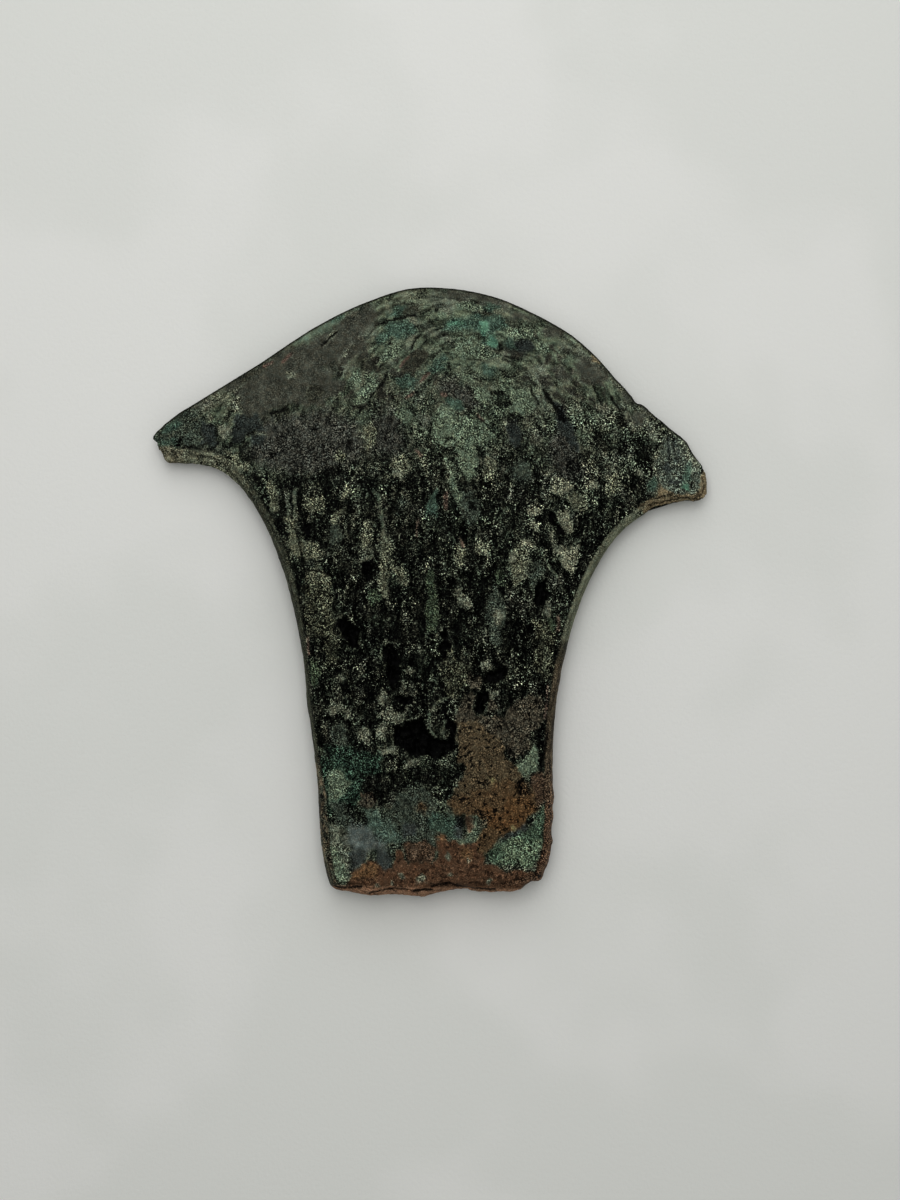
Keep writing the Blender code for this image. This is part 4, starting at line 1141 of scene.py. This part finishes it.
def pressed(skin, finish):
    """Places of the points once the relief that goes with the finish is pressed in."""
    body, blade = skin.body, skin.blade
    rim_fade = smooth_step(skin.to_rim, 0.8, 4.0)
    smooth_zone = smooth_step(deepest(skin.ragged, dict(PATCHES)[OLIVE_SKIN]), -0.8, 0.8)
    furrows = (1 - skin.ridge) * (CRUST_DEPTH + FURROW_DEPTH * body) * rim_fade
    dip = furrows + GROOVE_DEPTH * skin.groove * blade
    dip = dip * (1 - 0.8 * smooth_zone) * (1 - 0.6 * finish.metal)
    dip += (JET_DEPTH * smooth_step(skin.in_jet, -0.2, 0.9) - JET_RIM_HEIGHT * skin.jet_rim
            + SHADE_DEPTH * skin.shadow * (1 - 0.6 * skin.jet))
    dip += (CRACK_DEPTH * skin.crack - SCRATCH_HEIGHT * skin.scratch
            + CRUMB_DEPTH * (1 + skin.crumb) * (1 - smooth_zone))
    dip += (SCALE_DEPTH * (1 - skin.stroke) * blade * (1 - smooth_zone)
            - VEIN_HEIGHT * skin.vein)
    side_cut = SIDE_LINE_DEPTH * (1 + skin.lines) + SIDE_BIT_DEPTH * (1 + skin.bits)
    torn_cut = TORN_DEPTH + TORN_SWING * skin.torn
    side_cut = side_cut * (1 - skin.at_butt) + torn_cut * skin.at_butt
    on_side = skin.side * (1 - skin.up)
    inward = (skin.up * dip + on_side * side_cut) * np.clip(skin.to_edge / 4, 0.15, 1)
    places = skin.places - skin.normals * inward[:, None] * MM
    beneath = UNDER_DEPTH * (1 + clouds(skin.plan, "underside")) * rim_fade * (1 - body * 0.3)
    places[:, 2] += skin.under * beneath * MM * (skin.height > RESTING)
    places[:, 2] = np.maximum(places[:, 2], 0)
    return places


def weather(piece, outline):
    """Presses the grain, pits and breaks into the skin, and stores the finish on its points."""
    skin = Skin(piece, outline)
    find_grain(skin)
    finish = lay_crust(skin)
    lay_patches(skin, finish)
    lay_marks(skin, finish)
    lay_sides(skin, finish)
    mesh = piece.data
    mesh.vertices.foreach_set("co", pressed(skin, finish).ravel())
    mesh.update()
    store(mesh, "hue", finish.hue**CONTRAST)
    store(mesh, "tone", finish.tone)
    store(mesh, "grain", finish.grain)
    store(mesh, "metal", finish.metal)


def put(tree, kind, inputs=(), **settings):
    """A shader node with its settings and inputs, each a value or another node's output."""
    made = tree.nodes.new("ShaderNode" + kind)
    for name, value in settings.items():
        setattr(made, name, value)
    for name, value in dict(inputs).items():
        if isinstance(value, bpy.types.NodeSocket):
            tree.links.new(value, made.inputs[name])
        else:
            made.inputs[name].default_value = value
    return made


def read(tree, name, output="Fac"):
    """What weather() stored on the points under a name."""
    return put(tree, "Attribute", attribute_name=name).outputs[output]


def stretched(tree, vector, scale, shift=(0, 0, 0)):
    return put(tree, "Mapping", {"Vector": vector, "Scale": scale, "Location": shift}).outputs[0]


def level(tree, value, low, high, start=0.0, end=1.0, way="LINEAR"):
    """A value brought from one range to another."""
    values = {"Value": value, "From Min": low, "From Max": high, "To Min": start, "To Max": end}
    return put(tree, "MapRange", values, interpolation_type=way).outputs["Result"]


def rise(tree, value, low, high, start=0.0, end=1.0):
    return level(tree, value, low, high, start, end, "SMOOTHSTEP")


def speckle_group():
    """Shader group of the patina and the paper: noise spread evenly between 0 and 1."""
    name = "even_speckle"
    if name in bpy.data.node_groups:
        return bpy.data.node_groups[name]
    group = bpy.data.node_groups.new(name, "ShaderNodeTree")
    group.interface.new_socket("Vector", in_out="INPUT", socket_type="NodeSocketVector")
    for value in ("Scale", "Detail", "Roughness", "Distortion"):
        group.interface.new_socket(value, in_out="INPUT", socket_type="NodeSocketFloat")
    group.interface.new_socket("Speckle", in_out="OUTPUT", socket_type="NodeSocketFloat")
    given = group.nodes.new("NodeGroupInput").outputs
    values = {name: given[name] for name in ("Vector", "Scale", "Detail", "Roughness", "Distortion")}
    even = level(group, put(group, "TexNoise", values).outputs["Fac"], *NOISE_RANGE)
    group.links.new(even, group.nodes.new("NodeGroupOutput").inputs["Speckle"])
    return group


def speckle(tree, vector, name):
    """One row of SPECKLES, placed as a group with its own values."""
    scale, detail, rough, warp, shift = SPECKLES[name]
    if any(shift):
        vector = stretched(tree, vector, (1, 1, 1), shift)
    values = {"Vector": vector, "Scale": scale, "Detail": detail, "Roughness": rough,
              "Distortion": warp}
    return put(tree, "Group", values, node_tree=speckle_group()).outputs["Speckle"]


def reckon(tree, operation, first, second=0.0, clamp=False):
    """One sum on two values."""
    values = {0: first, 1: second}
    return put(tree, "Math", values, operation=operation, use_clamp=clamp).outputs[0]


def times(tree, first, second, clamp=False):
    return reckon(tree, "MULTIPLY", first, second, clamp)


def total(tree, *shares):
    """Sum of values, each given with the share that it counts for."""
    result = 0.0
    for value, share in shares:
        values = {0: value, 1: share, 2: result}
        result = put(tree, "Math", values, operation="MULTIPLY_ADD").outputs[0]
    return result


def tint(tree, under, over, mask):
    """One colour laid over another by a mask."""
    made = put(tree, "Mix", data_type="RGBA")
    for name, value in (("A_Color", under), ("B_Color", over), ("Factor_Float", mask)):
        socket = next(s for s in made.inputs if s.identifier == name)
        if isinstance(value, bpy.types.NodeSocket):
            tree.links.new(value, socket)
        else:
            socket.default_value = (*value, 1) if name != "Factor_Float" else value
    return next(s for s in made.outputs if s.identifier == "Result_Color")


def winding(tree, vector, stretch, shift, scale, width):
    """1 on thin winding lines and 0 beside them."""
    values = {"Vector": stretched(tree, vector, stretch, shift), "Scale": scale, "Detail": 1.5,
              "Roughness": 0.5, "Distortion": 0.7}
    away = reckon(tree, "SUBTRACT", put(tree, "TexNoise", values).outputs["Fac"], 0.5)
    return rise(tree, reckon(tree, "ABSOLUTE", away), 0.0, width, 1.0, 0.0)


def grained(tree, flat, tone, grain):
    """The stored brightness broken up by crystals, sparks and crumbs, and these grains."""
    crumbs = speckle(tree, flat, "crumbs")
    grains = total(tree, (speckle(tree, flat, "crystals"), 0.50),
                   (speckle(tree, flat, "sparks"), 0.25), (crumbs, 0.25))
    light = total(tree, (tone, 0.45), (level(tree, crumbs, 0.0, 1.0, 0.12, 0.30), 1.0))
    dark = total(tree, (tone, 0.30), (1.0, -0.02))
    share = reckon(tree, "DIVIDE", reckon(tree, "SUBTRACT", tone, dark),
                   reckon(tree, "SUBTRACT", light, dark))
    gap = total(tree, (share, -0.55), (1.0, 0.775))
    lit = rise(tree, grains, reckon(tree, "SUBTRACT", gap, 0.08), reckon(tree, "ADD", gap, 0.08))
    mixed = level(tree, lit, 0.0, 1.0, dark, light)
    zones = speckle(tree, flat, "zones")
    strength = times(tree, grain, level(tree, zones, 0.0, 1.0, 0.85, 1.55), True)
    return level(tree, strength, 0.0, 1.0, tone, mixed), grains, zones


def patina():
    """Patina and bare metal: the stored finish with fine grain and painted glints, gloss and roughness.
    """
    material = bpy.data.materials.new("patinated_copper")
    material.use_nodes = True
    tree = material.node_tree
    shader = tree.nodes["Principled BSDF"]
    flat = stretched(tree, put(tree, "TexCoord").outputs["Object"], (1 / MM, 1 / MM, 1 / MM))
    tone = read(tree, "tone")
    grain = read(tree, "grain")
    metal = read(tree, "metal")

    # Fine grain, crisper on the crust than on metal and weaker in the hollows
    seen, grains, zones = grained(tree, flat, tone, grain)
    # Its brightest specks are partly pale grains and partly painted glints
    fine = reckon(tree, "POWER", speckle(tree, flat, "finest"), 2.0)
    grain_and_glint_strength = total(tree, (grain, 1.25), (metal, 0.10), (1.0, 0.035))
    grain_and_glint_strength = times(tree, grain_and_glint_strength, level(tree, zones, 0.0, 1.0, 0.45, 1.45))
    grain_and_glint_strength = times(tree, grain_and_glint_strength, rise(tree, seen, 0.0, 0.16, 0.2, 1.0))
    seen = total(tree, (grain_and_glint_strength, reckon(tree, "SUBTRACT", fine, 0.41)), (seen, 1.0))

    # Pale threads and dark cracks of the crust
    spread = reckon(tree, "SUBTRACT", times(tree, grain, 1.5), 0.10, True)
    pale = times(tree, winding(tree, flat, *PALE_THREADS), spread)
    seen = total(tree, (pale, 0.17), (seen, 1.0))
    darker = total(tree, (seen, 0.25), (1.0, -0.01))
    cracks = times(tree, winding(tree, flat, *DARK_THREADS), spread)
    seen = level(tree, cracks, 0.0, 1.0, seen, darker)

    # Pinholes and bright dots of the bare metal
    holes = total(tree, (speckle(tree, flat, "holes"), 0.75), (zones, 0.25))
    holes = times(tree, rise(tree, holes, 0.70, 0.73), metal)
    seen = level(tree, holes, 0.0, 1.0, seen, 0.04)
    dots = rise(tree, speckle(tree, flat, "dots"), 0.88, 0.98)
    dots = times(tree, dots, reckon(tree, "CEIL", metal))
    seen = total(tree, (dots, 0.12), (seen, 1.0))

    # From brightness as seen to colour
    seen = reckon(tree, "MAXIMUM", seen, DARKEST)
    bright = reckon(tree, "DIVIDE", reckon(tree, "POWER", seen, GAMMA), WHITE)
    # The brightest fine specks turn paler, partly as pale grains and partly as painted glints
    tinted = tint(tree, read(tree, "hue", "Vector"), PALE_GRAIN_AND_PAINTED_GLINT, times(tree, fine, times(tree, grain, 0.3)))
    shade = tint(tree, WARM_SHADE, COOL_SHADE, speckle(tree, flat, "shades"))
    tinted = put(tree, "VectorMath", {0: tinted, 1: shade}, operation="MULTIPLY").outputs[0]
    colour = put(tree, "VectorMath", {0: tinted, "Scale": bright}, operation="SCALE").outputs[0]
    tree.links.new(colour, shader.inputs["Base Color"])

    # Gloss, roughness and fine relief
    tree.links.new(level(tree, seen, 0.02, 0.30, *ROUGHNESS), shader.inputs["Roughness"])
    tree.links.new(times(tree, metal, METAL_SHARE), shader.inputs["Metallic"])
    shader.inputs["Specular IOR Level"].default_value = GLOSS
    bump = {"Height": times(tree, grains, grain), "Strength": 0.7, "Distance": GRAIN_RELIEF}
    tree.links.new(put(tree, "Bump", bump).outputs["Normal"], shader.inputs["Normal"])
    return material


def axe_head():
    piece, outline = fine_skin()
    thin_underside(piece)
    weather(piece, outline)
    piece.data.materials.clear()
    piece.data.materials.append(patina())
    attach(piece, "root")
    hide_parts("axe_head")


def floor():
    """A plain sheet of pale paper."""
    deselect()
    bpy.ops.mesh.primitive_plane_add(size=FLOOR_SIZE, location=(0, 0, 0))
    sheet = bpy.context.object
    sheet.name = "paper_floor"
    material = bpy.data.materials.new("pale_paper")
    material.use_nodes = True
    tree = material.node_tree
    shader = tree.nodes["Principled BSDF"]
    place = put(tree, "TexCoord").outputs["Object"]
    cloud = rise(tree, speckle(tree, place, "paper clouds"), 0.3, 0.7)
    tree.links.new(tint(tree, PAPER_DULL, PAPER_PALE, cloud), shader.inputs["Base Color"])
    shader.inputs["Roughness"].default_value = PAPER_ROUGHNESS
    fibre = {"Height": speckle(tree, place, "paper fibre"), "Strength": 0.12, "Distance": FIBRE_RELIEF}
    tree.links.new(put(tree, "Bump", fibre).outputs["Normal"], shader.inputs["Normal"])
    sheet.data.materials.append(material)


def camera():
    """Straight above, with the blade at the top of the picture."""
    data = bpy.data.cameras.new("camera")
    data.lens = CAMERA_LENS
    data.sensor_fit = "AUTO"
    data.sensor_width = CAMERA_SENSOR
    eye = bpy.data.objects.new("camera", data)
    eye.location = CAMERA_PLACE
    bpy.context.scene.collection.objects.link(eye)
    bpy.context.scene.camera = eye


def lamp(name, place, size, power):
    """A soft rectangular light that faces the head."""
    data = bpy.data.lights.new(name, "AREA")
    data.shape = "RECTANGLE"
    data.size, data.size_y = size
    data.energy = power
    light = bpy.data.objects.new(name, data)
    light.location = place
    light.rotation_euler = (-Vector(place)).to_track_quat("-Z", "Y").to_euler()
    bpy.context.scene.collection.objects.link(light)


def studio():
    """Even soft light from all round, and a window beyond the cutting edge."""
    world = bpy.data.worlds.new("studio")
    bpy.context.scene.world = world
    world.use_nodes = True
    tree = world.node_tree
    sky = tree.nodes["Background"]
    direction = put(tree, "TexCoord").outputs["Generated"]
    up = put(tree, "SeparateXYZ", {0: direction}).outputs["Z"]
    glow = rise(tree, up, 0.0, 1.0, *SKY_GLOW)
    tree.links.new(tint(tree, (0, 0, 0), SKY_COLOUR, glow), sky.inputs["Color"])
    sky.inputs["Strength"].default_value = SKY_STRENGTH
    for name, (place, size, power) in LAMPS.items():
        lamp(name, place, size, power)


studio()
floor()
axe_head()
camera()
bpy.context.scene.view_settings.view_transform = "Standard"
bpy.context.scene.view_settings.gamma = CONTRAST
